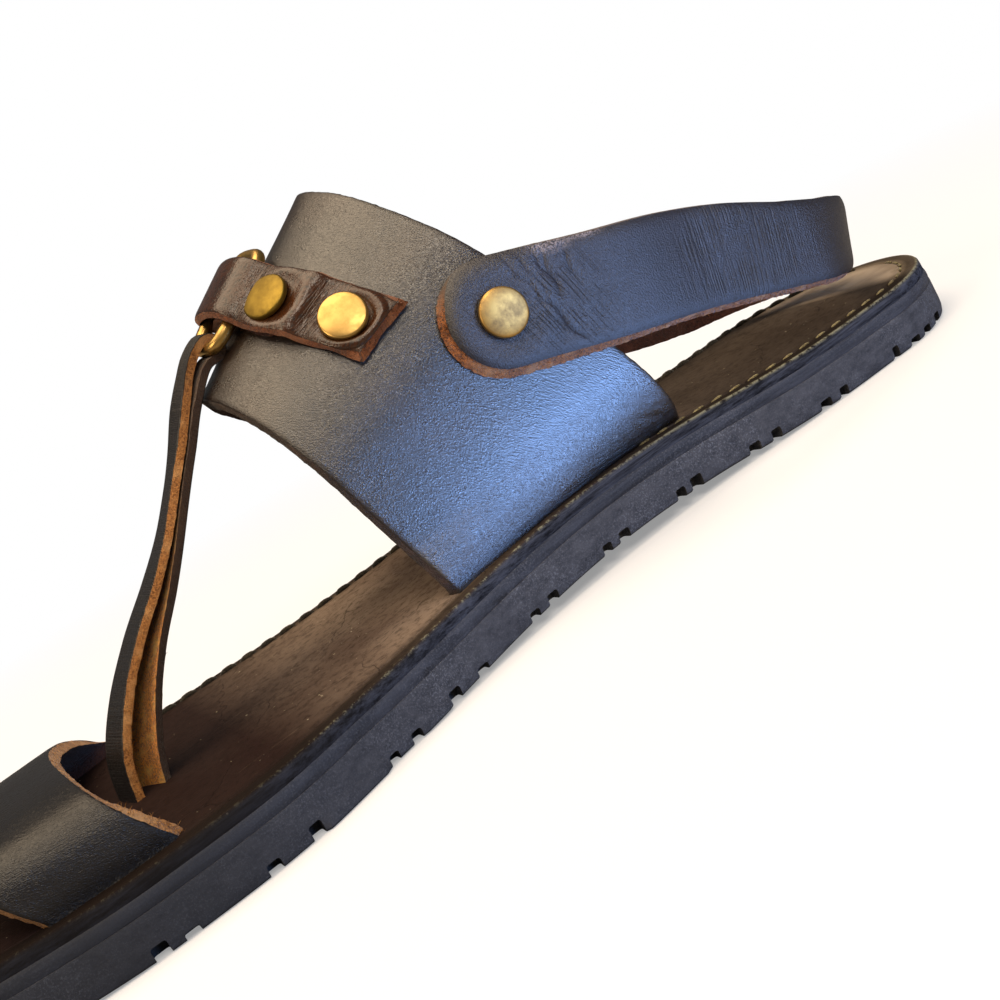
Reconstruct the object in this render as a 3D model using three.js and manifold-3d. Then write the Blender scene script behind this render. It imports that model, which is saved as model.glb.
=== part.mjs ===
// Gladiator sandal for the right foot: a lugged rubber sole, a leather insole and riveted leather straps.
// Millimetres. X runs from the back of the heel to the toe, +Y is the inner (medial) side, +Z is up
// from the floor. The finished group is centred over its origin on the floor.
import * as THREE from 'three';
import { mergeVertices } from 'three/addons/utils/BufferGeometryUtils.js';
import Module from 'manifold-3d';

const wasm = await Module();
wasm.setup();

// Driving dimensions
const SHOE_LENGTH = 300;
const BALL_WIDTH = 99;
const INSTEP_HEIGHT = 96.4;
const INSTEP_FRONT_HEIGHT = 69.4;
const TOE_STRAP_HEIGHT = 28.6;
const SEAT_GAP = 0.3;

// Sole layers, heights above the ground line
const OUTSOLE_TOP = 8.2;
const MIDSOLE_TOP = 11.0;
const INSOLE_TOP = 13.8;
const ARCH = { start: 46, end: 184, rise: 3 };
const TOE_SPRING = { start: 226, rise: 7 };
const HEEL_ROUND = 32;
const TOE_ROUND = { start: 235, tipY: 10, power: 2.3 };
const OUTLINE_STEPS = 36;

// Half widths of the sole as shares of the ball width, at shares of the length
const SOLE_PLAN = [
  { along: 0.0, medial: 0.35, lateral: 0.345 },
  { along: 0.107, medial: 0.348, lateral: 0.343 },
  { along: 0.2, medial: 0.333, lateral: 0.354 },
  { along: 0.3, medial: 0.298, lateral: 0.369 },
  { along: 0.4, medial: 0.298, lateral: 0.389 },
  { along: 0.5, medial: 0.338, lateral: 0.419 },
  { along: 0.6, medial: 0.419, lateral: 0.475 },
  { along: 0.683, medial: 0.495, lateral: 0.505 },
  { along: 0.767, medial: 0.492, lateral: 0.475 },
  { along: 0.833, medial: 0.466, lateral: 0.424 },
  { along: 1.0, medial: 0.44, lateral: 0.34 },
];

// Edge profiles of the layers: how far in from the outline, and how high above the ground line
const OUTSOLE_EDGE = [
  { inset: 0.9, height: 0 },
  { inset: 0.2, height: 0.7 },
  { inset: 0, height: 7.5 },
  { inset: 0.7, height: OUTSOLE_TOP },
];
const MIDSOLE_EDGE = [
  { inset: 0.9, height: OUTSOLE_TOP + SEAT_GAP },
  { inset: 0.3, height: OUTSOLE_TOP + SEAT_GAP + 0.6 },
  { inset: 0.3, height: MIDSOLE_TOP },
];
const INSOLE_EDGE = [
  { inset: 0.5, height: MIDSOLE_TOP + SEAT_GAP },
  { inset: 0.4, height: INSOLE_TOP - 0.6 },
  { inset: 1.1, height: INSOLE_TOP },
];

// Lugs: each row is a pair of notches in the side of the sole, with a groove across between the edges
const LUG_GROOVES = [
  { first: 19, second: 25 },
  { first: 30, second: 36.5 },
  { first: 53.5, second: 59 },
  { first: 73, second: 79 },
  { first: 95, second: 99.5 },
  { first: 116, second: 121 },
  { first: 137.5, second: 143 },
  { first: 159, second: 167 },
  { first: 178, second: 184 },
  { first: 203, second: 212 },
  { first: 228, second: 233.5 },
  { first: 252, second: 259 },
  { first: 274, second: 280 },
];
const NOTCH = { width: 3.2, depth: 3.6, reach: 13, past: 4 };
const CROSS_GROOVE = { width: 2.8, depth: 2.4, margin: 20, shortest: 8 };
const BELOW_FLOOR = 2;

// Leather
const BAND_LEATHER = 2.6;
const STRAP_LEATHER = 2.5;
const TAB_LEATHER = 1.6;
const T_LEATHER = 1.8;
const SLOT_DEPTH = 1.6;
const SLOT_CUT = 5;
const ARCH_FADE = 30;

// Instep band: its two edges, from the slots to the crown; bend above 1 keeps an edge back as it rises
const BAND_BACK = {
  medial: { baseX: 86.5, reach: 36, bend: 1 },
  lateral: { baseX: 74, reach: -30, bend: 1.6 },
  crown: { x: 124.3, y: -6, z: INSTEP_HEIGHT },
};
const BAND_FRONT = {
  medial: { baseX: 154, reach: 33, bend: 1 },
  lateral: { baseX: 135, reach: -34, bend: 2.4 },
  crown: { x: 167.4, y: -4, z: INSTEP_FRONT_HEIGHT },
};
// Each fold of the band: its share of the rise, and the share of the half width that it reaches at each edge
const BAND_FOLDS = [
  { rise: 0.0, back: 0.76, front: 0.97 },
  { rise: 0.05, back: 0.87, front: 0.98 },
  { rise: 0.11, back: 0.95, front: 0.965 },
  { rise: 0.21, back: 1.0, front: 0.92 },
  { rise: 0.42, back: 0.985, front: 0.855 },
  { rise: 0.6, back: 0.925, front: 0.79 },
  { rise: 0.72, back: 0.82, front: 0.7 },
  { rise: 0.82, back: 0.65, front: 0.585 },
  { rise: 0.9, back: 0.475, front: 0.43 },
  { rise: 0.96, back: 0.28, front: 0.265 },
  { rise: 1.0, back: 0.0, front: 0.0 },
];

// Toe strap
const TOE_BACK = {
  medial: { baseX: 220, reach: 31.4, bend: 1 },
  lateral: { baseX: 214, reach: -58, bend: 1 },
  crown: { x: 229, y: 12, z: TOE_STRAP_HEIGHT },
};
const TOE_FRONT = {
  medial: { baseX: 246, reach: 29.6, bend: 1 },
  lateral: { baseX: 239, reach: -53, bend: 1 },
  crown: { x: 255, y: 13, z: TOE_STRAP_HEIGHT + 0.6 },
};
const TOE_FOLDS = [
  { rise: 0.0, medial: 0.985, lateral: 0.975 },
  { rise: 0.3, medial: 1.0, lateral: 0.93 },
  { rise: 0.6, medial: 0.985, lateral: 0.75 },
  { rise: 0.82, medial: 0.9, lateral: 0.48 },
  { rise: 0.93, medial: 0.7, lateral: 0.29 },
  { rise: 0.98, medial: 0.42, lateral: 0.155 },
  { rise: 1.0, medial: 0.0, lateral: 0.0 },
];

// Heel strap: an upright loop round the heel, and the strap's height and width along it from the rear
const HEEL_LOOP = { centreX: 43, halfLength: 27, halfWidth: 30.5, leanBack: 0.6 };
const HEEL_SIDE = { length: 110, bow: 1.5 };
const HEEL_END_TURN = 1.36;
const HEEL_STRAP = [
  { along: 0, height: 23.6, width: 14, sag: 0 },
  { along: 37.7, height: 30.8, width: 18.6, sag: 2 },
  { along: 49.7, height: 35, width: 20.4, sag: 3 },
  { along: 64.2, height: 40.6, width: 22.4, sag: 3.5 },
  { along: 78.7, height: 45.2, width: 23.4, sag: 3 },
  { along: 98.2, height: 50, width: 24, sag: 1.5 },
  { along: 118.2, height: 55.6, width: 25, sag: 0 },
  { along: 131.2, height: 59, width: 25, sag: 0 },
];
const HEEL_JOIN = {
  medial: { freeX: 66, seatedX: 94 },
  lateral: { freeX: 48, seatedX: 76 },
};
const HEEL_RIVET_ALONG = 118.2;

// Ring tab: a strip across the band, by its share of the fold and of the band's width at each end
const TAB = { startFold: 0.311, startAcross: 0.465, endFold: 0.5, endAcross: 0.595, width: 13.6 };
// Its height above the band, along it from the free end
const TAB_TOP = [
  { along: 0, height: 1.7 },
  { along: 3.5, height: 1.25 },
  { along: 7.5, height: 1.1 },
  { along: 12, height: 1.5 },
  { along: 16, height: 2.6 },
  { along: 19.5, height: 3.3 },
  { along: 23.2, height: 3.5 },
  { along: 26.5, height: 3.9 },
  { along: 28, height: 5.0 },
  { along: 29.5, height: 6.2 },
  { along: 31, height: 7.0 },
  { along: 34.2, height: 7.25 },
];
const TAB_UNDER = [
  { along: 34.6, height: 3.5 },
  { along: 33.4, height: 4.2 },
  { along: 32.4, height: 4.85 },
  { along: 31.6, height: 5.15 },
  { along: 30.6, height: 4.75 },
  { along: 29, height: 3.5 },
  { along: 27, height: 1.95 },
  { along: 24, height: 1.15 },
  { along: 20.5, height: 1.1 },
];
const FOLD_TURNS = [80, 45, 10, -25, -60, -85];
const FOLD_STRETCH = 1.5;
const TAB_RIVETS = [
  { name: 'tab_rivet_back', along: 7.5, lean: 0 },
  { name: 'tab_rivet_front', along: 23.5, lean: 0.09 },
];
const RING = { wire: 1.1, nearBar: { along: 31.6, height: 3.0 }, farBar: { along: 37, height: 5.0 } };
const RING_REACH = { rear: 10.4, front: 10.5, squareness: 6 };
const RING_STEPS = 32;

// T-strap: the rear layer's path from the ring to the slot, the space between the layers, and the width
const T_PATH = [
  { x: 163.4, z: 76.3, between: 3.4, width: 4.2 },
  { x: 169.9, z: 70.8, between: 2.4, width: 6.2 },
  { x: 176.0, z: 63.4, between: 2.3, width: 7.4 },
  { x: 182.4, z: 56.2, between: 2.3, width: 8.6 },
  { x: 188.4, z: 49.6, between: 2.4, width: 9.6 },
  { x: 194.8, z: 43.0, between: 3.0, width: 10 },
  { x: 202.7, z: 35.4, between: 4.0, width: 10 },
  { x: 209.6, z: 27.3, between: 5.0, width: 10 },
  { x: 214.9, z: 18.6, between: 5.6, width: 10 },
  { x: 217.1, z: 12.4, between: 5.6, width: 10 },
];
const T_SLOT_Y = 4.5;
const T_SLOT_CUT = 4;
const T_FOLD_TURNS = [-90, -60, -30, 0, 30, 60, 90];
const T_UNTWIST = 0.3;
// the layers turn to the inner side on their way down: share of the drop, then degrees at the slot
const T_TURN = { start: 0.35, end: 0.85, rear: 22, front: 12 };

// Rivets
const RIVET = {
  capRadius: 5.1,
  capHeight: 1.7,
  rim: 0.7,
  shankRadius: 1.5,
  backRadius: 3.6,
  backHeight: 0.9,
};
const RIVET_SIDES = 16;
const RIVET_HOLE_LENGTH = 30;

// Colours
const LEATHER = 0x2e2320;
const FOOTBED = 0x3a2c22;
const RUBBER = 0x22242a;
const EDGE_LEATHER = 0x26262b;
const BRASS = 0xb9954f;

// Facets along and across each sheet of leather
const FACETS = {
  band: { along: 44, across: 6 },
  heel: { along: 56, across: 4 },
  toe: { along: 36, across: 4 },
  t: { along: 72, across: 2 },
  tab: { along: 56, across: 3 },
  ring: { along: 36, around: 8 },
};
const SMALL_STEP = 1e-3;
const WELD = 1e-4;

// A smooth value through the rows of a table
function follow(rows, at, column, where) {
  const last = rows.length - 1;
  let i = 0;
  while (i < last - 1 && where > rows[i + 1][at]) {
    i += 1;
  }
  const slope = (k) => {
    const before = rows[Math.max(k - 1, 0)];
    const after = rows[Math.min(k + 1, last)];
    return (after[column] - before[column]) / (after[at] - before[at]);
  };
  const span = rows[i + 1][at] - rows[i][at];
  const t = THREE.MathUtils.clamp((where - rows[i][at]) / span, 0, 1);
  const t2 = t * t;
  const t3 = t2 * t;
  return (2 * t3 - 3 * t2 + 1) * rows[i][column] + (t3 - 2 * t2 + t) * span * slope(i)
    + (3 * t2 - 2 * t3) * rows[i + 1][column] + (t3 - t2) * span * slope(i + 1);
}

// Height of the ground line: flat under heel and ball, raised at the arch and at the toe
function ground(x) {
  if (x > ARCH.start && x < ARCH.end) {
    return ARCH.rise * Math.sin(Math.PI * (x - ARCH.start) / (ARCH.end - ARCH.start)) ** 2;
  }
  const past = Math.max(x - TOE_SPRING.start, 0) / (SHOE_LENGTH - TOE_SPRING.start);
  return TOE_SPRING.rise * past * past;
}

// Y of the sole's outline on one side
function soleEdge(x, side) {
  const half = BALL_WIDTH * follow(SOLE_PLAN, 'along', side, x / SHOE_LENGTH);
  const heelShare = Math.min(x / HEEL_ROUND, 1);
  const heel = Math.sqrt(1 - (1 - heelShare) ** 2);
  const toeShare = Math.max(x - TOE_ROUND.start, 0) / (SHOE_LENGTH - TOE_ROUND.start);
  const toe = Math.sqrt(Math.max(1 - toeShare ** TOE_ROUND.power, 0));
  const tip = TOE_ROUND.tipY * (1 - toe);
  return side === 'medial' ? tip + half * heel * toe : tip - half * heel * toe;
}

// The outline, up the medial side and back down the lateral side, moved in by an inset
function outline(inset) {
  const count = 2 * OUTLINE_STEPS;
  const points = Array.from({ length: count }, (_, k) => {
    const side = k <= OUTLINE_STEPS ? 'medial' : 'lateral';
    const x = SHOE_LENGTH * (1 - Math.cos(Math.PI * k / OUTLINE_STEPS)) / 2;
    return new THREE.Vector2(x, soleEdge(x, side));
  });
  return points.map((point, k) => {
    const ahead = points[(k + 1) % count];
    const behind = points[(k + count - 1) % count];
    const run = ahead.clone().sub(behind).normalize();
    return new THREE.Vector2(point.x + run.y * inset, point.y - run.x * inset);
  });
}

function geometryFrom(positions, triangles) {
  const geometry = new THREE.BufferGeometry();
  geometry.setAttribute('position', new THREE.Float32BufferAttribute(positions, 3));
  geometry.setIndex(triangles);
  return geometry;
}

// One layer of the sole: rings of the outline from its lower face to its upper face
function soleLayer(edge) {
  const rings = edge.map((row) => outline(row.inset));
  const count = rings[0].length;
  const positions = [];
  rings.forEach((ring, r) => {
    ring.forEach((point) => positions.push(point.x, point.y, ground(point.x) + edge[r].height));
  });
  const triangles = [];
  for (let r = 0; r + 1 < rings.length; r += 1) {
    for (let k = 0; k < count; k += 1) {
      const next = (k + 1) % count;
      const low = r * count;
      const high = low + count;
      triangles.push(low + k, high + k, low + next, low + next, high + k, high + next);
    }
  }
  const top = (rings.length - 1) * count;
  for (let k = 0; k < OUTLINE_STEPS; k += 1) {
    const across = (count - k) % count;
    const strip = [[k, across, k + 1], [across, count - k - 1, k + 1]];
    strip.filter((t) => new Set(t).size === 3).forEach(([a, b, c]) => {
      triangles.push(top + a, top + b, top + c, a, c, b);
    });
  }
  return geometryFrom(positions, triangles);
}

// A sheet of leather: a surface with its wall thickness, closed round its rim
function leather(surface, { along, across }, thickness) {
  const outer = [];
  const inner = [];
  for (let i = 0; i <= along; i += 1) {
    for (let j = 0; j <= across; j += 1) {
      const { point, normal } = sheetPoint(surface, i / along, j / across);
      outer.push(point.clone().addScaledVector(normal, thickness / 2));
      inner.push(point.clone().addScaledVector(normal, -thickness / 2));
    }
  }
  const count = outer.length;
  const at = (i, j) => i * (across + 1) + j;
  const triangles = [];
  const quad = (a, b, c, d) => triangles.push(a, b, c, a, c, d);
  for (let i = 0; i < along; i += 1) {
    for (let j = 0; j < across; j += 1) {
      const corners = [at(i, j), at(i + 1, j), at(i + 1, j + 1), at(i, j + 1)];
      quad(...corners);
      quad(...corners.map((k) => k + count).reverse());
    }
    quad(at(i, 0), at(i, 0) + count, at(i + 1, 0) + count, at(i + 1, 0));
    quad(at(i + 1, across), at(i + 1, across) + count, at(i, across) + count, at(i, across));
  }
  for (let j = 0; j < across; j += 1) {
    quad(at(0, j + 1), at(0, j + 1) + count, at(0, j) + count, at(0, j));
    quad(at(along, j), at(along, j) + count, at(along, j + 1) + count, at(along, j + 1));
  }
  return geometryFrom([...outer, ...inner].flatMap((p) => p.toArray()), triangles);
}

// A point of a surface with its outward normal
function sheetPoint(surface, u, v) {
  const point = surface(u, v);
  const before = { u: Math.max(u - SMALL_STEP, 0), v: Math.max(v - SMALL_STEP, 0) };
  const after = { u: Math.min(u + SMALL_STEP, 1), v: Math.min(v + SMALL_STEP, 1) };
  const alongRun = surface(after.u, v).sub(surface(before.u, v));
  const acrossRun = surface(u, after.v).sub(surface(u, before.v));
  return { point, normal: alongRun.cross(acrossRun).normalize() };
}

// One edge of an arched strap: from its medial slot over the crown to its lateral slot
function archEdge(edge, folds, columns, depth) {
  const place = (row, side, drop) => {
    const { baseX, reach, bend } = edge[side];
    const baseZ = ground(baseX) + INSOLE_TOP;
    return new THREE.Vector3(
      baseX + row.rise ** bend * (edge.crown.x - baseX),
      edge.crown.y + row[columns[side]] * reach,
      baseZ + row.rise * (edge.crown.z - baseZ) - drop,
    );
  };
  const medial = folds.map((row) => place(row, 'medial', 0));
  const lateral = folds.slice(0, -1).reverse().map((row) => place(row, 'lateral', 0));
  const first = place(folds[0], 'medial', depth);
  const last = place(folds[0], 'lateral', depth);
  return new THREE.CatmullRomCurve3([first, ...medial, ...lateral, last]);
}

// The middle of an arched strap's wall, straight across from its back edge to its front edge
function archSurface({ back, front, folds, backColumns, frontColumns }, depth, widen) {
  const backEdge = archEdge(back, folds, backColumns, depth);
  const frontEdge = archEdge(front, folds, frontColumns, depth);
  return (u, v) => {
    const side = u < 0.5 ? 'medial' : 'lateral';
    const start = backEdge.getPoint(u);
    const end = frontEdge.getPoint(u);
    const share = widen / start.distanceTo(end);
    const across = v * (1 + 2 * share) - share;
    const point = start.lerp(end, across);
    const chord = THREE.MathUtils.lerp(ground(back[side].baseX), ground(front[side].baseX), across);
    const nearSole = THREE.MathUtils.clamp(1 - (point.z - INSOLE_TOP) / ARCH_FADE, 0, 1);
    point.z += (ground(point.x) - chord) * nearSole;
    return point;
  };
}

function solid(geometry) {
  const bare = geometry.clone();
  bare.deleteAttribute('normal');
  bare.deleteAttribute('uv');
  const merged = mergeVertices(bare, WELD);
  const vertProperties = new Float32Array(merged.attributes.position.array);
  const triVerts = new Uint32Array(merged.index.array);
  return new wasm.Manifold(new wasm.Mesh({ numProp: 3, vertProperties, triVerts }));
}

function cut(geometry, cutters) {
  const body = cutters.reduce((left, cutter) => left.subtract(solid(cutter)), solid(geometry));
  const mesh = body.getMesh();
  return geometryFrom(Array.from(mesh.vertProperties), Array.from(mesh.triVerts));
}

// Lug grooves, as blocks that open through the floor side of the sole
function grooveBlock(x, startY, endY, size) {
  const height = ground(x) + size.depth + BELOW_FLOOR;
  const block = new THREE.BoxGeometry(size.width, Math.abs(endY - startY), height);
  return block.translate(x, (startY + endY) / 2, height / 2 - BELOW_FLOOR);
}

function lugGrooves() {
  return LUG_GROOVES.flatMap(({ first, second }) => {
    const notches = [first, second].flatMap((x) => ['medial', 'lateral'].map((side) => {
      const edge = soleEdge(x, side);
      const outward = Math.sign(edge);
      return grooveBlock(x, edge + outward * NOTCH.past, edge - outward * NOTCH.reach, NOTCH);
    }));
    const middle = (first + second) / 2;
    const medial = soleEdge(middle, 'medial') - CROSS_GROOVE.margin;
    const lateral = soleEdge(middle, 'lateral') + CROSS_GROOVE.margin;
    if (medial - lateral < CROSS_GROOVE.shortest) {
      return notches;
    }
    return [...notches, grooveBlock(middle, lateral, medial, CROSS_GROOVE)];
  });
}

const BAND = {
  back: BAND_BACK,
  front: BAND_FRONT,
  folds: BAND_FOLDS,
  backColumns: { medial: 'back', lateral: 'back' },
  frontColumns: { medial: 'front', lateral: 'front' },
};
const TOE_COLUMNS = { medial: 'medial', lateral: 'lateral' };
const TOE = {
  back: TOE_BACK,
  front: TOE_FRONT,
  folds: TOE_FOLDS,
  backColumns: TOE_COLUMNS,
  frontColumns: TOE_COLUMNS,
};
const bandSurface = archSurface(BAND, SLOT_DEPTH, 0);
const toeSurface = archSurface(TOE, SLOT_DEPTH, 0);

// A place on the band's wall and its outward normal; across may run past the band's edges
function bandPlace(fold, across) {
  const line = (f) => bandSurface(f, 0).lerp(bandSurface(f, 1), across);
  const point = line(fold);
  const alongRun = line(fold + SMALL_STEP).sub(line(fold - SMALL_STEP));
  const acrossRun = bandSurface(fold, 1).sub(bandSurface(fold, 0)).normalize();
  return { point, acrossRun, normal: alongRun.cross(acrossRun).normalize() };
}

// The wall that stands off the band's outer face by a distance, at a given x and z on one side
function besideBand(x, z, side, distance) {
  const target = { x, z };
  let seat = null;
  for (let pass = 0; pass < 6; pass += 1) {
    seat = bandAt(target.x, target.z, side);
    seat.stand = seat.point.clone().addScaledVector(seat.normal, BAND_LEATHER / 2 + distance);
    target.x += x - seat.stand.x;
    target.z += z - seat.stand.z;
  }
  return seat;
}

function bandAt(x, z, side) {
  let low = 0.05;
  let high = 0.5;
  let across = 0;
  for (let pass = 0; pass < 40; pass += 1) {
    const fold = (low + high) / 2;
    const back = bandSurface(side === 'medial' ? fold : 1 - fold, 0);
    const front = bandSurface(side === 'medial' ? fold : 1 - fold, 1);
    across = (x - back.x) / (front.x - back.x);
    if (back.z + across * (front.z - back.z) < z) {
      low = fold;
    } else {
      high = fold;
    }
  }
  const fold = side === 'medial' ? low : 1 - low;
  return { fold, across, ...bandPlace(fold, across) };
}

// Plan of the heel loop, by distance from its rear on one side
const LOOP_STEPS = 240;
const loopPlan = Array.from({ length: LOOP_STEPS + 1 }, (_, k) => {
  const quarter = LOOP_STEPS / 3;
  if (k <= quarter) {
    const turn = Math.PI / 2 * k / quarter;
    return {
      x: HEEL_LOOP.centreX - HEEL_LOOP.halfLength * Math.cos(turn),
      y: HEEL_LOOP.halfWidth * Math.sin(turn),
    };
  }
  const share = (k - quarter) / (LOOP_STEPS - quarter);
  return {
    x: HEEL_LOOP.centreX + HEEL_SIDE.length * share,
    y: HEEL_LOOP.halfWidth + HEEL_SIDE.bow * Math.sin(Math.PI * share),
  };
});
loopPlan[0].along = 0;
for (let k = 1; k <= LOOP_STEPS; k += 1) {
  const before = loopPlan[k - 1];
  const here = loopPlan[k];
  here.along = before.along + Math.hypot(here.x - before.x, here.y - before.y);
}

// A point of the upright wall that the heel strap lies on
function loopWall(along, z, side, centreZ) {
  const distance = Math.abs(along);
  const k = loopPlan.findIndex((row) => row.along >= distance);
  const after = loopPlan[Math.max(k, 1)];
  const before = loopPlan[Math.max(k, 1) - 1];
  const share = (distance - before.along) / (after.along - before.along);
  const x = THREE.MathUtils.lerp(before.x, after.x, share);
  const y = THREE.MathUtils.lerp(before.y, after.y, share);
  const turn = THREE.MathUtils.clamp((HEEL_LOOP.centreX - x) / HEEL_LOOP.halfLength, 0, 1);
  const lean = HEEL_LOOP.leanBack * turn * (z - centreZ);
  const sign = along < 0 ? -1 : 1;
  const free = new THREE.Vector3(x - lean, sign * y, z);
  const seated = THREE.MathUtils.smoothstep(x, HEEL_JOIN[side].freeX, HEEL_JOIN[side].seatedX);
  if (seated === 0) {
    return free;
  }
  const seat = besideBand(x, z, side, SEAT_GAP + STRAP_LEATHER / 2);
  return free.lerp(seat.stand, seated);
}

function heelStrapRow(along) {
  const distance = Math.abs(along);
  const sag = along < 0 ? follow(HEEL_STRAP, 'along', 'sag', distance) : 0;
  const height = follow(HEEL_STRAP, 'along', 'height', distance) - sag;
  const past = distance - HEEL_RIVET_ALONG;
  const half = follow(HEEL_STRAP, 'along', 'width', distance) / 2;
  return { height, half: past > 0 ? Math.sqrt(Math.max(half * half - past * past, 1)) : half };
}

// Heel strap, from its lateral round end (u = 0) to its medial round end (u = 1)
const heelEndAlong = HEEL_RIVET_ALONG + Math.sqrt((HEEL_STRAP.at(-1).width / 2) ** 2 - 1);
function heelSurface(u, v) {
  const along = heelEndAlong * Math.sin((u - 0.5) * 2 * HEEL_END_TURN) / Math.sin(HEEL_END_TURN);
  const here = heelStrapRow(along);
  const ahead = heelStrapRow(along + 0.5);
  const behind = heelStrapRow(along - 0.5);
  const slope = Math.atan(ahead.height - behind.height);
  const up = (2 * v - 1) * here.half;
  const side = along < 0 ? 'lateral' : 'medial';
  return loopWall(along - up * Math.sin(slope), here.height + up * Math.cos(slope), side, here.height);
}

// Ring tab: a place over the band, by distance along the tab, share across it and height over the band
const tabLength = bandPlace(TAB.startFold, TAB.startAcross).point
  .distanceTo(bandPlace((TAB.startFold + TAB.endFold) / 2, (TAB.startAcross + TAB.endAcross) / 2).point)
  + bandPlace((TAB.startFold + TAB.endFold) / 2, (TAB.startAcross + TAB.endAcross) / 2).point
    .distanceTo(bandPlace(TAB.endFold, TAB.endAcross).point);
function overBand(along, sideways, height) {
  const share = along / tabLength;
  const fold = THREE.MathUtils.lerp(TAB.startFold, TAB.endFold, share);
  const across = THREE.MathUtils.lerp(TAB.startAcross, TAB.endAcross, share);
  const seat = bandPlace(fold, across);
  const place = seat.point.clone().addScaledVector(seat.normal, BAND_LEATHER / 2 + height);
  return { place: place.addScaledVector(seat.acrossRun, sideways), ...seat };
}

// The tab's middle line: over the top, round the far bar of the ring and back through the ring
const tabFoldRadius = RING.wire + SEAT_GAP + TAB_LEATHER / 2;
const tabFold = FOLD_TURNS.map((degrees) => {
  const turn = THREE.MathUtils.degToRad(degrees);
  return {
    along: RING.farBar.along + tabFoldRadius * Math.cos(turn) / FOLD_STRETCH,
    height: RING.farBar.height + tabFoldRadius * Math.sin(turn),
  };
});
const tabLine = new THREE.CatmullRomCurve3(
  [...TAB_TOP, ...tabFold, ...TAB_UNDER].map((row) => new THREE.Vector3(row.along, row.height, 0)),
);
function tabSurface(u, v) {
  const spot = tabLine.getPointAt(u);
  return overBand(spot.x, (v - 0.5) * TAB.width, spot.y).place;
}

// Ring: a wire loop with its near bar on the band and its far bar in the tab's fold
const nearBar = overBand(RING.nearBar.along, 0, RING.nearBar.height);
const farBar = overBand(RING.farBar.along, 0, RING.farBar.height);
const ringForward = nearBar.acrossRun.clone().add(farBar.acrossRun).normalize();
const ringSide = farBar.place.clone().sub(nearBar.place);
const ringHalfWidth = ringSide.length() / 2;
ringSide.normalize();
const ringMiddle = nearBar.place.clone().add(farBar.place).multiplyScalar(0.5);
function ringPath() {
  const half = (RING_REACH.front + RING_REACH.rear) / 2;
  const shift = (RING_REACH.front - RING_REACH.rear) / 2;
  const power = 2 / RING_REACH.squareness;
  const rounded = (value) => Math.sign(value) * Math.abs(value) ** power;
  const points = Array.from({ length: RING_STEPS }, (_, k) => {
    const turn = 2 * Math.PI * k / RING_STEPS;
    return ringMiddle.clone()
      .addScaledVector(ringForward, shift + half * rounded(Math.cos(turn)))
      .addScaledVector(ringSide, ringHalfWidth * rounded(Math.sin(turn)));
  });
  return new THREE.CatmullRomCurve3(points, true);
}

// T-strap: up from its slot, round the front of the ring and down again
const ringFront = ringMiddle.clone().addScaledVector(ringForward, RING_REACH.front);
const tFoldRadius = RING.wire + 1.5 * SEAT_GAP + T_LEATHER / 2;
function tStrapSurface(extraDepth, extraWidth) {
  const rear = T_PATH.map((row) => new THREE.Vector2(row.x, row.z));
  const front = rear.map((point, k) => {
    const ahead = rear[Math.min(k + 1, rear.length - 1)];
    const behind = rear[Math.max(k - 1, 0)];
    const run = ahead.clone().sub(behind).normalize();
    return point.clone().add(new THREE.Vector2(-run.y, run.x).multiplyScalar(T_PATH[k].between));
  });
  const up = new THREE.Vector2(-ringForward.z, ringForward.x);
  const back = new THREE.Vector2(-ringForward.x, -ringForward.z);
  const fold = T_FOLD_TURNS.map((degrees) => {
    const turn = THREE.MathUtils.degToRad(degrees);
    return new THREE.Vector2(ringFront.x, ringFront.z)
      .addScaledVector(back, tFoldRadius * Math.cos(turn))
      .addScaledVector(up, tFoldRadius * Math.sin(turn));
  });
  const bottom = T_PATH.at(-1).z;
  front.at(-1).y = bottom;
  const deeper = (point) => new THREE.Vector2(point.x, bottom - extraDepth);
  const path = [...rear].reverse().concat(fold, front);
  const ends = extraDepth > 0 ? [deeper(rear.at(-1)), ...path, deeper(front.at(-1))] : path;
  const line = new THREE.CatmullRomCurve3(ends.map((p) => new THREE.Vector3(p.x, 0, p.y)));
  const widths = [...T_PATH].reverse().map((row) => ({ z: row.z, width: row.width }));
  return (u, v) => {
    const spot = line.getPointAt(u);
    const drop = THREE.MathUtils.clamp((ringFront.z - spot.z) / (ringFront.z - bottom), 0, 1);
    const width = follow(widths, 'z', 'width', Math.min(spot.z, T_PATH[0].z)) + extraWidth;
    const sideways = (0.5 - v) * width;
    const middleY = THREE.MathUtils.lerp(ringFront.y, T_SLOT_Y, drop);
    const tilt = 1 - THREE.MathUtils.smoothstep(drop, 0, T_UNTWIST);
    const turned = tilt * sideways / ringSide.y;
    const degrees = u < 0.5 ? T_TURN.rear : T_TURN.front;
    const turn = THREE.MathUtils.degToRad(degrees) * THREE.MathUtils.smoothstep(drop, T_TURN.start, T_TURN.end);
    return new THREE.Vector3(
      spot.x + ringSide.x * turned - sideways * Math.sin(turn),
      middleY + sideways * Math.cos(turn),
      spot.z + ringSide.z * turned,
    );
  };
}

// Rivets: a domed cap outside, a shank through the leather and a flat cap inside
function rivet(seat, under, through) {
  const profile = [
    [0, under + RIVET.capHeight],
    [RIVET.capRadius * 0.55, under + RIVET.capHeight - 0.12],
    [RIVET.capRadius * 0.85, under + RIVET.capHeight - 0.42],
    [RIVET.capRadius, under + RIVET.rim],
    [RIVET.capRadius, under],
    [RIVET.shankRadius, under],
    [RIVET.shankRadius, -through],
    [RIVET.backRadius, -through],
    [RIVET.backRadius * 0.8, -through - RIVET.backHeight],
    [0, -through - RIVET.backHeight],
  ].reverse().map(([radius, height]) => new THREE.Vector2(radius, height));
  return new THREE.LatheGeometry(profile, RIVET_SIDES).applyMatrix4(rivetPlace(seat));
}

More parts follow.
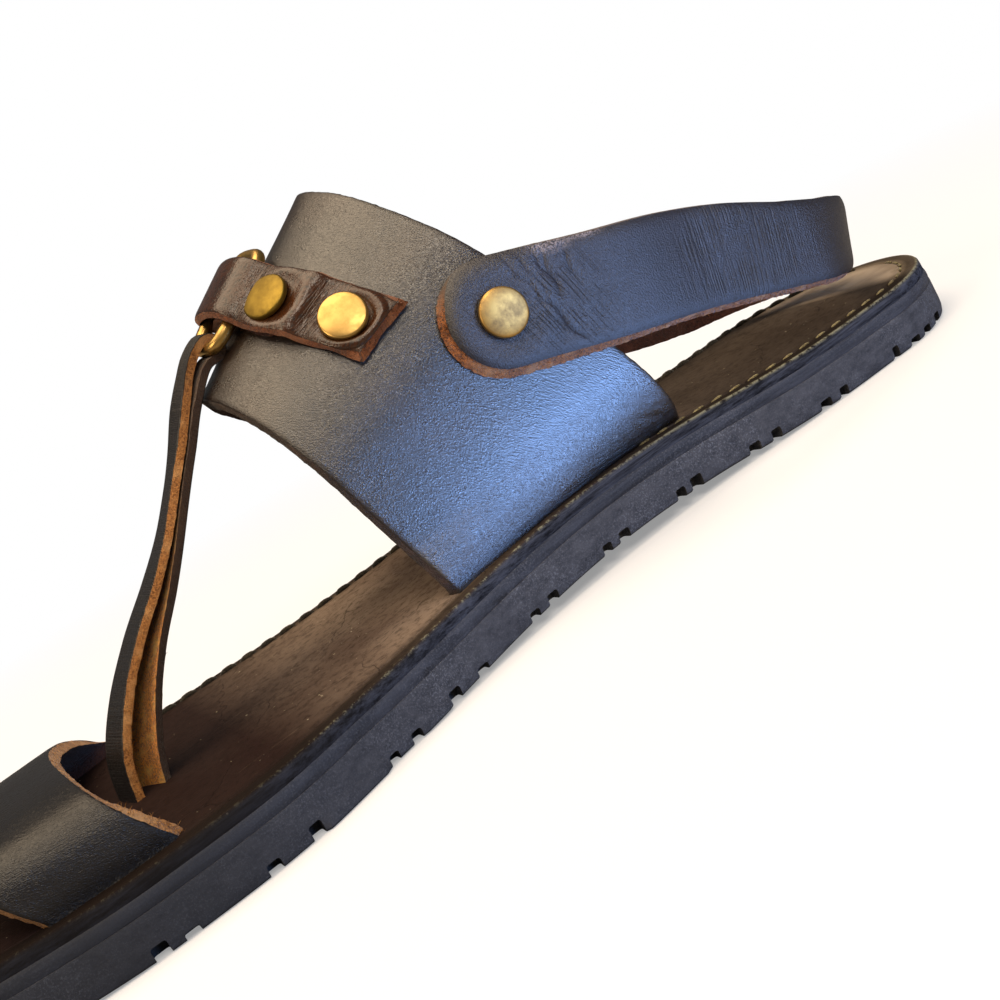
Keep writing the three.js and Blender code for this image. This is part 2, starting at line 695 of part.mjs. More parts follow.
function rivetPlace(seat) {
  const turn = new THREE.Quaternion().setFromUnitVectors(new THREE.Vector3(0, 1, 0), seat.normal);
  return new THREE.Matrix4().compose(seat.point, turn, new THREE.Vector3(1, 1, 1));
}

function rivetHole(seat) {
  const radius = RIVET.shankRadius + SEAT_GAP;
  const hole = new THREE.CylinderGeometry(radius, radius, RIVET_HOLE_LENGTH, RIVET_SIDES);
  return hole.applyMatrix4(rivetPlace(seat));
}

const group = new THREE.Group();
function add(name, geometry, color, roughness, metalness) {
  const mesh = new THREE.Mesh(geometry, new THREE.MeshStandardMaterial({ color, roughness, metalness }));
  mesh.name = name;
  group.add(mesh);
}

// Sole layers
const slotCutters = [
  leather(archSurface(BAND, SLOT_CUT, SEAT_GAP), FACETS.band, BAND_LEATHER + 2 * SEAT_GAP),
  leather(archSurface(TOE, SLOT_CUT, SEAT_GAP), FACETS.toe, STRAP_LEATHER + 2 * SEAT_GAP),
  leather(tStrapSurface(T_SLOT_CUT, 2 * SEAT_GAP), FACETS.t, T_LEATHER + 2 * SEAT_GAP),
];
add('outsole', cut(soleLayer(OUTSOLE_EDGE), lugGrooves()), RUBBER, 0.75, 0);
add('midsole', soleLayer(MIDSOLE_EDGE), EDGE_LEATHER, 0.6, 0);
add('insole', cut(soleLayer(INSOLE_EDGE), slotCutters), FOOTBED, 0.5, 0);

// Straps and the rivets through them
const heelRivets = ['medial', 'lateral'].map((side) => {
  const along = side === 'medial' ? HEEL_RIVET_ALONG : -HEEL_RIVET_ALONG;
  const centre = loopWall(along, heelStrapRow(along).height, side, 0);
  return { name: `heel_rivet_${side}`, seat: bandAt(centre.x, centre.z, side) };
});
const tabRivets = TAB_RIVETS.map(({ name, along, lean }) => {
  const seat = overBand(along, 0, 0);
  const tabRun = overBand(along + 1, 0, 0).point.sub(seat.point).normalize();
  seat.normal = seat.normal.clone().addScaledVector(tabRun, -lean).normalize();
  return { name, along, lean, seat };
});
const heelHoles = heelRivets.map(({ seat }) => rivetHole(seat));
const tabHoles = tabRivets.map(({ seat }) => rivetHole(seat));

const band = leather(bandSurface, FACETS.band, BAND_LEATHER);
add('instep_band', cut(band, [...heelHoles, ...tabHoles]), LEATHER, 0.45, 0);
add('heel_strap', cut(leather(heelSurface, FACETS.heel, STRAP_LEATHER), heelHoles), LEATHER, 0.45, 0);
add('toe_strap', leather(toeSurface, FACETS.toe, STRAP_LEATHER), LEATHER, 0.45, 0);
add('t_strap', leather(tStrapSurface(0, 0), FACETS.t, T_LEATHER), LEATHER, 0.5, 0);
add('ring_tab', cut(leather(tabSurface, FACETS.tab, TAB_LEATHER), tabHoles), LEATHER, 0.45, 0);
const ring = new THREE.TubeGeometry(ringPath(), FACETS.ring.along, RING.wire, FACETS.ring.around, true);
add('ring', ring, BRASS, 0.3, 1);
const inside = BAND_LEATHER / 2 + 2 * SEAT_GAP;
const heelUnder = BAND_LEATHER / 2 + STRAP_LEATHER + 2.2 * SEAT_GAP;
heelRivets.forEach(({ name, seat }) => add(name, rivet(seat, heelUnder, inside), BRASS, 0.3, 1));
tabRivets.forEach(({ name, seat, along, lean }) => {
  const tabTop = follow(TAB_TOP, 'along', 'height', along) + TAB_LEATHER / 2;
  const under = BAND_LEATHER / 2 + tabTop + 1.7 * SEAT_GAP;
  add(name, rivet(seat, under, inside + lean * RIVET.backRadius), BRASS, 0.3, 1);
});

// Centre the sandal over its origin
const widest = outline(0).map((point) => point.y);
group.position.set(-SHOE_LENGTH / 2, -(Math.max(...widest) + Math.min(...widest)) / 2, 0);

export default group;
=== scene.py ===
# %% [markdown]
# # A worn gladiator sandal
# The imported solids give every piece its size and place. This lesson dresses them as a used leather sandal:
# straps with a waxed grain side, a fuzzy flesh side and raw cut edges, brass rivets, a scuffed footbed with
# its stitching, and a dusty lugged rubber sole. Each piece stands where its solid stands, to a millimetre
# or two.

# %% Load the frame
import math

import bpy
import numpy as np
from mathutils import Matrix, Vector, kdtree, noise


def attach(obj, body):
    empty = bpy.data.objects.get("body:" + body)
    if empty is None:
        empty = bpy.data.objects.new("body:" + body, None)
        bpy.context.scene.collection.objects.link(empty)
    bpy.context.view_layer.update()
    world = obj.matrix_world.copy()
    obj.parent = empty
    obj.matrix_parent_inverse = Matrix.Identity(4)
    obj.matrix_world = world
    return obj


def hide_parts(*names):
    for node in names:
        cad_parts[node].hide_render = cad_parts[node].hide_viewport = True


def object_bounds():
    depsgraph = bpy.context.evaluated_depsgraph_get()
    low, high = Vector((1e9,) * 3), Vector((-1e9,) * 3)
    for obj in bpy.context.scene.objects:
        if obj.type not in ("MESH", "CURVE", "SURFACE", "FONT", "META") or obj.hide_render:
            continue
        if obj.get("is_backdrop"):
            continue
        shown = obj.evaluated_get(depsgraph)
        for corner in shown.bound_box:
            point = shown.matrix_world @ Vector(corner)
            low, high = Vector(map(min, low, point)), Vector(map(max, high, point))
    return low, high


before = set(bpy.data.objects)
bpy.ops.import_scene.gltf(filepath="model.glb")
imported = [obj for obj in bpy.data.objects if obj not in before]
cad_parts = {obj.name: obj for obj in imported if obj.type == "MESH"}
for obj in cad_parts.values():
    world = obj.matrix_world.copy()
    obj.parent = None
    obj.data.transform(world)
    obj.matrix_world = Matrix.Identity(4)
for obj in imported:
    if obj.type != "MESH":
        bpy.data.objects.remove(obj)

MM = 0.001
NOISE_SEED = 4
# noise vectors start from the clock unless they are seeded
noise.seed_set(NOISE_SEED)
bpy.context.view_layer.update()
print("solids", sorted(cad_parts))

# %% [markdown]
# ## The sandal's own sizes
# A sandal is drawn from a few sizes of the last: its length, the width at the ball and the height over the
# instep. The short tables below repeat the ones that the solids were cut from, in millimetres, with x from
# the back of the heel and y towards the inner side, so that each dressed strap lies where its solid lies.

# %% Sizes of the last and the sole
SHOE_LENGTH = 300.0
BALL_WIDTH = 99.0
OUTSOLE_TOP, MIDSOLE_TOP, INSOLE_TOP = 8.2, 11.0, 13.8
SEAT_GAP = 0.3
ARCH_START, ARCH_END, ARCH_RISE = 46.0, 184.0, 3.0
SPRING_START, SPRING_RISE = 226.0, 7.0
HEEL_ROUND = 32.0
TOE_START, TOE_TIP_Y, TOE_POWER = 235.0, 10.0, 2.3

# share of the length, then medial and lateral half widths as shares of the ball width
SOLE_PLAN = np.array([
    (0.0, 0.35, 0.345), (0.107, 0.348, 0.343), (0.2, 0.333, 0.354), (0.3, 0.298, 0.369),
    (0.4, 0.298, 0.389), (0.5, 0.338, 0.419), (0.6, 0.419, 0.475), (0.683, 0.495, 0.505),
    (0.767, 0.492, 0.475), (0.833, 0.466, 0.424), (1.0, 0.44, 0.34),
])
print("sole of", SHOE_LENGTH, "by", BALL_WIDTH, "mm, drawn through", len(SOLE_PLAN), "widths")


# %% Outline of the sole
def follow(rows, column, where):
    """A smooth value through the rows of a table, whose first column says where."""
    at, value = rows[:, 0], rows[:, column]
    before = np.maximum(np.arange(len(at)) - 1, 0)
    after = np.minimum(np.arange(len(at)) + 1, len(at) - 1)
    slope = (value[after] - value[before]) / (at[after] - at[before])
    i = np.clip(np.searchsorted(at, where) - 1, 0, len(at) - 2)
    span = at[i + 1] - at[i]
    t = np.clip((where - at[i]) / span, 0, 1)
    return ((2 * t**3 - 3 * t**2 + 1) * value[i] + (t**3 - 2 * t**2 + t) * span * slope[i]
            + (3 * t**2 - 2 * t**3) * value[i + 1] + (t**3 - t**2) * span * slope[i + 1])


def ground(x):
    """Height of the ground line: flat under heel and ball, raised at the arch and the toe."""
    arch = ARCH_RISE * np.sin(np.pi * (x - ARCH_START) / (ARCH_END - ARCH_START)) ** 2
    spring = SPRING_RISE * (np.maximum(x - SPRING_START, 0) / (SHOE_LENGTH - SPRING_START)) ** 2
    return np.where((x > ARCH_START) & (x < ARCH_END), arch, spring)


def sole_edge(x, side):
    """Y of the sole's outline, side 1 medial and -1 lateral."""
    half = BALL_WIDTH * np.where(side > 0, follow(SOLE_PLAN, 1, x / SHOE_LENGTH),
                                 follow(SOLE_PLAN, 2, x / SHOE_LENGTH))
    heel = np.sqrt(1 - (1 - np.minimum(x / HEEL_ROUND, 1)) ** 2)
    past = np.maximum(x - TOE_START, 0) / (SHOE_LENGTH - TOE_START)
    toe = np.sqrt(np.maximum(1 - past**TOE_POWER, 0))
    return TOE_TIP_Y * (1 - toe) + side * half * heel * toe


def outline(inset, turn):
    """Points of the outline moved in by inset; turn runs 0 to 1, up the medial side and down the lateral."""
    def edge(t):
        x = SHOE_LENGTH * (1 - np.cos(2 * np.pi * t)) / 2
        return np.stack([x, sole_edge(x, np.where(t % 1 <= 0.5, 1, -1))], -1)
    here, run = edge(turn), edge(turn + 2e-3) - edge(turn - 2e-3)
    run /= np.linalg.norm(run, axis=-1, keepdims=True)
    return here + inset * np.stack([run[..., 1], -run[..., 0]], -1)


rim = outline(0, np.linspace(0, 1, 2000))
TO_FRAME = np.array([-SHOE_LENGTH / 2, -(rim[:, 1].max() + rim[:, 1].min()) / 2, 0])
print("sole", np.round(np.ptp(rim, axis=0), 1), "mm, moved by", np.round(TO_FRAME, 2))

# %% [markdown]
# ## How the straps lie
# A strap is a flat strip of hide that was wetted and laid over the last. A surface function gives the
# middle of the hide's thickness for a place along and across the strip. The instep band and the toe strap
# are arches that spring from slots in the insole; the other straps lie on the band or hang from it. Cloth
# could be draped instead, but hide this thick keeps the bend that the maker gave it, so the bends are
# written down.

# %% Curves
def catmull(points, share):
    """Points on a smooth curve through the given ones, at shares 0 to 1 of its count."""
    points = np.asarray(points, float)
    wide = np.vstack([2 * points[0] - points[1], points, 2 * points[-1] - points[-2]])
    spot = np.clip(np.asarray(share, float), 0, 1) * (len(points) - 1)
    i = np.minimum(spot.astype(int), len(points) - 2)
    t = (spot - i)[..., None]
    p0, p1, p2, p3 = (wide[i + k] for k in range(4))
    d0, d1, d2 = (np.sqrt(np.linalg.norm(b - a, axis=-1, keepdims=True)) + 1e-9
                  for a, b in ((p0, p1), (p1, p2), (p2, p3)))
    m1 = d1 * ((p1 - p0) / d0 - (p2 - p0) / (d0 + d1) + (p2 - p1) / d1)
    m2 = d1 * ((p2 - p1) / d1 - (p3 - p1) / (d1 + d2) + (p3 - p2) / d2)
    return p1 + m1 * t + (3 * (p2 - p1) - 2 * m1 - m2) * t**2 + (2 * (p1 - p2) + m1 + m2) * t**3


def even(points, share):
    """The same curve, by shares of its length."""
    fine = catmull(points, np.linspace(0, 1, 1200))
    run = np.concatenate([[0], np.cumsum(np.linalg.norm(np.diff(fine, axis=0), axis=1))])
    at = np.asarray(share) * run[-1]
    return np.stack([np.interp(at, run, column) for column in fine.T], -1)


def unit(vectors):
    return vectors / np.linalg.norm(vectors, axis=-1, keepdims=True)


def ease(share):
    """A share held between 0 and 1 that starts and ends softly."""
    share = np.clip(share, 0, 1)
    return share**2 * (3 - 2 * share)


print("an eased quarter is", ease(0.25))

# %% Instep band and toe strap
SLOT_DEPTH = 1.6
ARCH_FADE = 30.0
# each edge: medial foot x, reach and bend, lateral foot x, reach and bend, then the crown
BAND_BACK = ((86.5, 36.0, 1.0), (74.0, -30.0, 1.6), (124.3, -6.0, 96.4))
BAND_FRONT = ((154.0, 33.0, 1.0), (135.0, -34.0, 2.4), (167.4, -4.0, 69.4))
# rise, and the share of the reach at the back edge and at the front edge
BAND_FOLDS = np.array([
    (0.0, 0.76, 0.97), (0.05, 0.87, 0.98), (0.11, 0.95, 0.965), (0.21, 1.0, 0.92), (0.42, 0.985, 0.855),
    (0.6, 0.925, 0.79), (0.72, 0.82, 0.7), (0.82, 0.65, 0.585), (0.9, 0.475, 0.43), (0.96, 0.28, 0.265),
    (1.0, 0.0, 0.0),
])
TOE_BACK = ((220.0, 31.4, 1.0), (214.0, -58.0, 1.0), (229.0, 12.0, 28.6))
TOE_FRONT = ((246.0, 29.6, 1.0), (239.0, -53.0, 1.0), (255.0, 13.0, 29.2))
# rise, and the share of the reach on the medial side and on the lateral side
TOE_FOLDS = np.array([
    (0.0, 0.985, 0.975), (0.3, 1.0, 0.93), (0.6, 0.985, 0.75), (0.82, 0.9, 0.48), (0.93, 0.7, 0.29),
    (0.98, 0.42, 0.155), (1.0, 0.0, 0.0),
])


def arch_edge(edge, folds, columns):
    crown = np.array(edge[2])

    def side_points(side):
        foot_x, reach, bend = edge[side]
        foot_z = ground(foot_x) + INSOLE_TOP
        rise, out = folds[:, 0], folds[:, columns[side]]
        return np.stack([foot_x + rise**bend * (crown[0] - foot_x), crown[1] + out * reach,
                         foot_z + rise * (crown[2] - foot_z)], -1)
    medial, lateral = side_points(0), side_points(1)
    drop = np.array([0, 0, SLOT_DEPTH])
    return np.vstack([medial[:1] - drop, medial, lateral[-2::-1], lateral[:1] - drop])


def arch_surface(back, front, folds, back_columns, front_columns):
    back_edge = arch_edge(back, folds, back_columns)
    front_edge = arch_edge(front, folds, front_columns)
    feet = np.array([[ground(edge[side][0]) for side in (0, 1)] for edge in (back, front)])

    def surface(u, v):
        u, v = np.broadcast_arrays(np.asarray(u, float), np.asarray(v, float))
        point = catmull(back_edge, u) * (1 - v[..., None]) + catmull(front_edge, u) * v[..., None]
        side = (u >= 0.5).astype(int)
        chord = feet[0][side] * (1 - v) + feet[1][side] * v
        near_sole = np.clip(1 - (point[..., 2] - INSOLE_TOP) / ARCH_FADE, 0, 1)
        point[..., 2] += (ground(point[..., 0]) - chord) * near_sole
        return point
    return surface


band_surface = arch_surface(BAND_BACK, BAND_FRONT, BAND_FOLDS, (1, 1), (2, 2))
toe_surface = arch_surface(TOE_BACK, TOE_FRONT, TOE_FOLDS, (1, 2), (1, 2))
print("band crown", np.round(band_surface(0.5, [0.0, 1.0]), 1).tolist())

# %% [markdown]
# The heel strap leaves a free loop round the heel and then lies flat on the band, so its place there is
# found on the band's own surface: the fold where the band has the wanted x and height, and a step out along
# its normal. Laid on by eye it would cut into the band or float over it.

# %% Places on the band
BAND_LEATHER, STRAP_LEATHER, TAB_LEATHER, T_LEATHER = 2.6, 2.5, 1.6, 1.8


def band_place(fold, across):
    """A point of the band's middle, its run across and its outward normal; across may pass the edges."""
    def line(f):
        return band_surface(f, 0) * (1 - across[..., None]) + band_surface(f, 1) * across[..., None]
    along_run = line(fold + 1e-3) - line(fold - 1e-3)
    across_run = unit(band_surface(fold, 1) - band_surface(fold, 0))
    return line(fold), across_run, unit(np.cross(along_run, across_run))


def band_at(x, z, lateral):
    """The place on one side of the band that has this x and height, found by halving."""
    low, high = np.full(x.shape, 0.05), np.full(x.shape, 0.5)
    for _ in range(36):
        fold = (low + high) / 2
        back, front = (band_surface(np.where(lateral, 1 - fold, fold), v) for v in (0, 1))
        across = (x - back[..., 0]) / (front[..., 0] - back[..., 0])
        below = back[..., 2] + across * (front[..., 2] - back[..., 2]) < z
        low, high = np.where(below, fold, low), np.where(below, high, fold)
    return band_place(np.where(lateral, 1 - low, low), across)


def beside_band(x, z, lateral, distance):
    """The point with this x and height that stands off the band by a distance."""
    aim_x, aim_z = x.copy(), z.copy()
    for _ in range(6):
        point, _, normal = band_at(aim_x, aim_z, lateral)
        stand = point + normal * (BAND_LEATHER / 2 + distance)
        aim_x, aim_z = aim_x + x - stand[..., 0], aim_z + z - stand[..., 2]
    return stand


print("band's middle", np.round(band_place(np.array([0.25]), np.array([0.5]))[0], 1).tolist())

# %% Heel strap
LOOP_CENTRE, LOOP_LENGTH, LOOP_WIDTH, LEAN_BACK = 43.0, 27.0, 30.5, 0.6
SIDE_LENGTH, SIDE_BOW = 110.0, 1.5
# distance from the rear, height, width, and how much the lateral half sags
HEEL_STRAP = np.array([
    (0.0, 23.6, 14.0, 0.0), (37.7, 30.8, 18.6, 2.0), (49.7, 35.0, 20.4, 3.0), (64.2, 40.6, 22.4, 3.5),
    (78.7, 45.2, 23.4, 3.0), (98.2, 50.0, 24.0, 1.5), (118.2, 55.6, 25.0, 0.0), (131.2, 59.0, 25.0, 0.0),
])
HEEL_RIVET_ALONG = 118.2
JOIN_FREE, JOIN_SEATED = (66.0, 48.0), (94.0, 76.0)
heel_end = HEEL_RIVET_ALONG + math.sqrt((HEEL_STRAP[-1, 2] / 2) ** 2 - 1)

quarter = np.linspace(0, np.pi / 2, 120)
side_share = np.linspace(0, 1, 240)[1:]
loop_x = np.concatenate([LOOP_CENTRE - LOOP_LENGTH * np.cos(quarter), LOOP_CENTRE + SIDE_LENGTH * side_share])
loop_y = np.concatenate([LOOP_WIDTH * np.sin(quarter), LOOP_WIDTH + SIDE_BOW * np.sin(np.pi * side_share)])
loop_run = np.concatenate([[0], np.cumsum(np.hypot(np.diff(loop_x), np.diff(loop_y)))])


def loop_wall(along, z, centre_z):
    lateral = along < 0
    x, y = (np.interp(np.abs(along), loop_run, values) for values in (loop_x, loop_y))
    lean = LEAN_BACK * np.clip((LOOP_CENTRE - x) / LOOP_LENGTH, 0, 1) * (z - centre_z)
    free = np.stack([x - lean, np.where(lateral, -y, y), z], -1)
    free_to, seated_from = (np.where(lateral, ends[1], ends[0]) for ends in (JOIN_FREE, JOIN_SEATED))
    seated = ease((x - free_to) / (seated_from - free_to))[..., None]
    stand = beside_band(np.maximum(x, free_to), z, lateral, SEAT_GAP + STRAP_LEATHER / 2)
    return free * (1 - seated) + stand * seated


def heel_row(along):
    distance = np.abs(along)
    height = follow(HEEL_STRAP, 1, distance) - np.where(along < 0, follow(HEEL_STRAP, 3, distance), 0)
    half = follow(HEEL_STRAP, 2, distance) / 2
    past = np.maximum(distance - HEEL_RIVET_ALONG, 0)
    return height, np.sqrt(np.maximum(half**2 - past**2, 1))


def heel_place(along, up):
    height = heel_row(along)[0]
    slope = np.arctan(heel_row(along + 0.5)[0] - heel_row(along - 0.5)[0])
    return loop_wall(along - up * np.sin(slope), height + up * np.cos(slope), height)


# %% [markdown]
# A short tab is folded round the far bar of a brass ring and riveted to the band. The T-strap is a narrow
# strip folded double round the ring's front end: its two layers hang side by side and go into a slot under
# the toe strap. Both are lines drawn from the side, in steps along the strip, that the leather is then laid
# along.

# %% Ring tab
TAB_START, TAB_END = (0.311, 0.465), (0.5, 0.595)
# distance from the free end and height over the band: over the top, then back under
TAB_TOP = np.array([
    (0, 1.7), (3.5, 1.25), (7.5, 1.1), (12, 1.5), (16, 2.6), (19.5, 3.3), (23.2, 3.5), (26.5, 3.9), (28, 5.0),
    (29.5, 6.2), (31, 7.0), (34.2, 7.25),
])
TAB_UNDER = np.array([
    (34.6, 3.5), (33.4, 4.2), (32.4, 4.85), (31.6, 5.15), (30.6, 4.75), (29, 3.5), (27, 1.95), (24, 1.15),
    (20.5, 1.1),
])
FOLD_TURNS, FOLD_STRETCH = np.radians([80, 45, 10, -25, -60, -85]), 1.5
RING_WIRE = 1.1
NEAR_BAR, FAR_BAR = (31.6, 3.0), (37.0, 5.0)
RING_REAR, RING_FRONT, RING_SQUARE = 11.6, 10.5, 4.0
TAB_RIVETS = {"tab_rivet_back": (7.5, 0.0), "tab_rivet_front": (23.5, -0.08)}

ends = [band_place(*np.array([a, b])[:, None]) for a, b in (
    TAB_START, np.add(TAB_START, TAB_END) / 2, TAB_END)]
tab_length = sum(np.linalg.norm(b[0] - a[0]) for a, b in zip(ends, ends[1:]))


def over_band(along, sideways, height):
    share = np.atleast_1d(np.asarray(along, float)) / tab_length
    fold, across = (TAB_START[k] + (TAB_END[k] - TAB_START[k]) * share for k in (0, 1))
    point, across_run, normal = band_place(fold, across)
    lift = np.asarray(BAND_LEATHER / 2 + height)
    return point + normal * lift[..., None] + across_run * np.asarray(sideways)[..., None], across_run, normal


fold_radius = RING_WIRE + SEAT_GAP + TAB_LEATHER / 2
tab_fold = np.stack([FAR_BAR[0] + fold_radius * np.cos(FOLD_TURNS) / FOLD_STRETCH,
                     FAR_BAR[1] + fold_radius * np.sin(FOLD_TURNS)], -1)
tab_line = np.vstack([TAB_TOP, tab_fold, TAB_UNDER])
print("tab", round(float(tab_length), 1), "mm along the band")

# %% Ring and T-strap
(near_bar, near_run, _), (far_bar, far_run, _) = (over_band(a, 0.0, h) for a, h in (NEAR_BAR, FAR_BAR))
ring_forward = unit(near_run[0] + far_run[0])
ring_side = unit(far_bar[0] - near_bar[0])
ring_half = np.linalg.norm(far_bar[0] - near_bar[0]) / 2
ring_middle = (near_bar[0] + far_bar[0]) / 2
ring_front = ring_middle + ring_forward * RING_FRONT

# rear layer's x and z, the space to the front layer, and the width
T_PATH = np.array([
    (163.4, 76.3, 3.4, 4.2), (169.9, 70.8, 2.4, 6.2), (176.0, 63.4, 2.3, 7.4), (182.4, 56.2, 2.3, 8.6),
    (188.4, 49.6, 2.4, 9.6), (194.8, 43.0, 3.0, 10), (202.7, 35.4, 4.0, 10), (209.6, 27.3, 5.0, 10),
    (214.9, 18.6, 5.6, 10), (217.1, 12.4, 5.6, 10),
])
T_SLOT_Y, T_UNTWIST = 4.5, 0.3
T_TURN_START, T_TURN_END, T_TURN_REAR, T_TURN_FRONT = 0.35, 0.85, 22.0, 12.0
t_radius = RING_WIRE + 1.5 * SEAT_GAP + T_LEATHER / 2
rear = T_PATH[:, :2]
run = unit(np.vstack([rear[1:], rear[-1:]]) - np.vstack([rear[:1], rear[:-1]]))
front = rear + np.stack([-run[:, 1], run[:, 0]], -1) * T_PATH[:, 2:3]
front[-1, 1] = rear[-1, 1]
forward = ring_forward[[0, 2]]
t_turns = np.radians(np.arange(-90, 91, 30))[:, None]
t_fold = (ring_front[[0, 2]] - forward * t_radius * np.cos(t_turns)
          + np.array([-forward[1], forward[0]]) * t_radius * np.sin(t_turns))
t_line = np.vstack([rear[::-1], t_fold, front])


def t_place(share, across):
    """Across runs from 0 to 1, lateral to medial."""
    spot = even(t_line, share)
    drop = np.clip((ring_front[2] - spot[..., 1]) / (ring_front[2] - rear[-1, 1]), 0, 1)
    width = follow(T_PATH[::-1, [1, 3]], 1, np.minimum(spot[..., 1], T_PATH[0, 1]))
    sideways = (across - 0.5) * width
    middle = ring_front[1] + (T_SLOT_Y - ring_front[1]) * drop
    turned = (1 - ease(drop / T_UNTWIST)) * sideways / ring_side[1]
    down = ease((drop - T_TURN_START) / (T_TURN_END - T_TURN_START))
    turn = np.radians(np.where(share < 0.5, T_TURN_REAR, T_TURN_FRONT)) * down
    return np.stack([spot[..., 0] + ring_side[0] * turned - sideways * np.sin(turn),
                     middle + sideways * np.cos(turn), spot[..., 1] + ring_side[2] * turned], -1)


print("ring half width", round(float(ring_half), 2), "mm, T-strap bent round", round(t_radius, 2), "mm")

# %% [markdown]
# ## Small tools for modelling
# Every strap starts as a flat grid, the cut strip of hide, and is laid on its surface. Solidify then gives
# the wall its thickness, with one material on the grain side, one on the flesh side and one on the cut rim.
# It could also be sculpted, but a strip keeps its thickness and its length this way. Each vertex keeps its
# place on the flat strip in an attribute, so that grain and creases follow the strip round its bends.

# %% Modelling tools
def start(operator, **settings):
    """Adds a primitive with nothing else selected and returns it."""
    bpy.ops.object.select_all(action="DESELECT")
    operator(**settings)
    return bpy.context.object


def read(values, key):
    """The vectors that a mesh keeps under a key, one row for each vertex."""
    rows = np.empty(len(values) * 3)
    values.foreach_get(key, rows)
    return rows.reshape(-1, 3)


def places(piece):
    return read(piece.data.vertices, "co")


def facing(piece):
    return read(piece.data.vertex_normals, "vector")


def noted(piece, name):
    return read(piece.data.attributes[name].data, "vector")


def note(piece, name, values):
    """Keeps a vector for each vertex, for the materials to read."""
    layer = piece.data.attributes.new(name, "FLOAT_VECTOR", "POINT")
    layer.data.foreach_set("vector", np.ascontiguousarray(values, float).ravel())


def set_places(piece, points):
    piece.data.vertices.foreach_set("co", points.ravel())
    piece.data.update()


def move_to(piece, points_mm):
    set_places(piece, (points_mm + TO_FRAME) * MM)


def apply(piece, kind, **settings):
    bpy.context.view_layer.objects.active = piece
    modifier = piece.modifiers.new(kind.title(), kind)
    for key, value in settings.items():
        setattr(modifier, key, value)
    bpy.ops.object.modifier_apply(modifier=modifier.name)


def join(pieces):
    """Joins pieces to the first of them."""
    bpy.ops.object.select_all(action="DESELECT")
    for piece in pieces:
        piece.select_set(True)
    bpy.context.view_layer.objects.active = pieces[0]
    bpy.ops.object.join()
    return pieces[0]


def copy_to(model, placing):
    """A copy of a model, moved to its place by a matrix."""
    copy = model.copy()
    copy.data = model.data.copy()
    copy.data.transform(placing)
    bpy.context.collection.objects.link(copy)
    return copy


def face_outward(piece, weld=None):
    """Turns every face outward, after welding the vertices that lie closer than weld."""
    bpy.context.view_layer.objects.active = piece
    bpy.ops.object.mode_set(mode="EDIT")
    bpy.ops.mesh.select_all(action="SELECT")
    if weld:
        bpy.ops.mesh.remove_doubles(threshold=weld)
    bpy.ops.mesh.normals_make_consistent(inside=False)
    bpy.ops.object.mode_set(mode="OBJECT")


def smooth(piece, degrees=40):
    bpy.ops.object.select_all(action="DESELECT")
    piece.select_set(True)
    bpy.context.view_layer.objects.active = piece
    bpy.ops.object.shade_smooth_by_angle(angle=math.radians(degrees))


def settle(piece, name, slot, *nodes):
    """Names a finished piece, puts it under the root and hides the solids that it stands for. The slot is not
    used.
    """
    piece.name = piece.data.name = name
    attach(piece, "root")
    if nodes:
        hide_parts(*nodes)
    print(name, len(piece.data.polygons), "faces")


# %% Tools for strips of hide
GRAIN, FLESH, RIM = 0, 1, 2


def lay_strap(sheet, along, across, thickness, creases, finishes):
    """A grid laid on a sheet that returns points and their places on the flat strip, then given its wall."""
    strip = start(bpy.ops.mesh.primitive_grid_add, x_subdivisions=along, y_subdivisions=across, size=1)
    for finish in finishes:
        strip.data.materials.append(finish)
    flat = places(strip)[:, :2] + 0.5
    points, lay = sheet(flat[:, 0], flat[:, 1])
    move_to(strip, points)
    move_to(strip, points + facing(strip) * creases(lay)[:, None])
    note(strip, "lay", lay * MM)
    apply(strip, "SOLIDIFY", thickness=thickness * MM, offset=0, use_rim=True,
          material_offset=FLESH, material_offset_rim=RIM)
    return strip


def vertices_of(piece, side):
    return sorted({v for face in piece.data.polygons if face.material_index == side for v in face.vertices})


# the cut is followed as far as this many times the distance to it, at least so many millimetres
LOOK_TIMES, LOOK_LEAST = 1.5, 0.7
CORNER_MOST = 1.4


def shape_edge(strip, reach, depth, slant, weight):
    """Rounds the grain side down towards the cut edge and draws it in, so that the knife's slanting cut
    shows. The weight of the slant is a function of the place on the strip. At a corner both edges draw."""
    points, lay, normals = places(strip), noted(strip, "lay"), facing(strip)
    outward = np.zeros_like(points)
    for face in strip.data.polygons:
        if face.material_index == RIM:
            outward[list(face.vertices)] += face.normal
    grain_side = vertices_of(strip, GRAIN)
    cut = [k for k in grain_side if outward[k].any()]
    tree = kdtree.KDTree(len(cut))
    for k in cut:
        tree.insert(points[k], k)
    tree.balance()
    for k in grain_side:
        share = 1 - lay[k, 2] / (reach * MM)
        if share > 0:
            near = (tree.find_range(points[k], LOOK_TIMES * lay[k, 2] + LOOK_LEAST * MM)
                    or [tree.find(points[k])])
            out = sum(outward[j] for _, j, _ in near)
            corner = min(2 * len(near) / np.linalg.norm(out), CORNER_MOST)
            draw = slant * weight(*lay[k, :2] / MM) * corner
            points[k] -= (normals[k] * share**3 * depth + unit(out) * share * draw) * MM
    set_places(strip, points)


def fray(piece, depth, weight):
    """Roughens the cut rim: moves its vertices by a seeded noise, more where the cut is wide."""
    points, lay = places(piece), noted(piece, "lay")
    for k in vertices_of(piece, RIM):
        spot = Vector(points[k] / MM)
        rough = np.array(noise.noise_vector(spot * 0.9) + 0.5 * noise.noise_vector(spot * 2.3))
        points[k] += rough * depth * weight(*lay[k, :2] / MM) * MM
    set_places(piece, points)


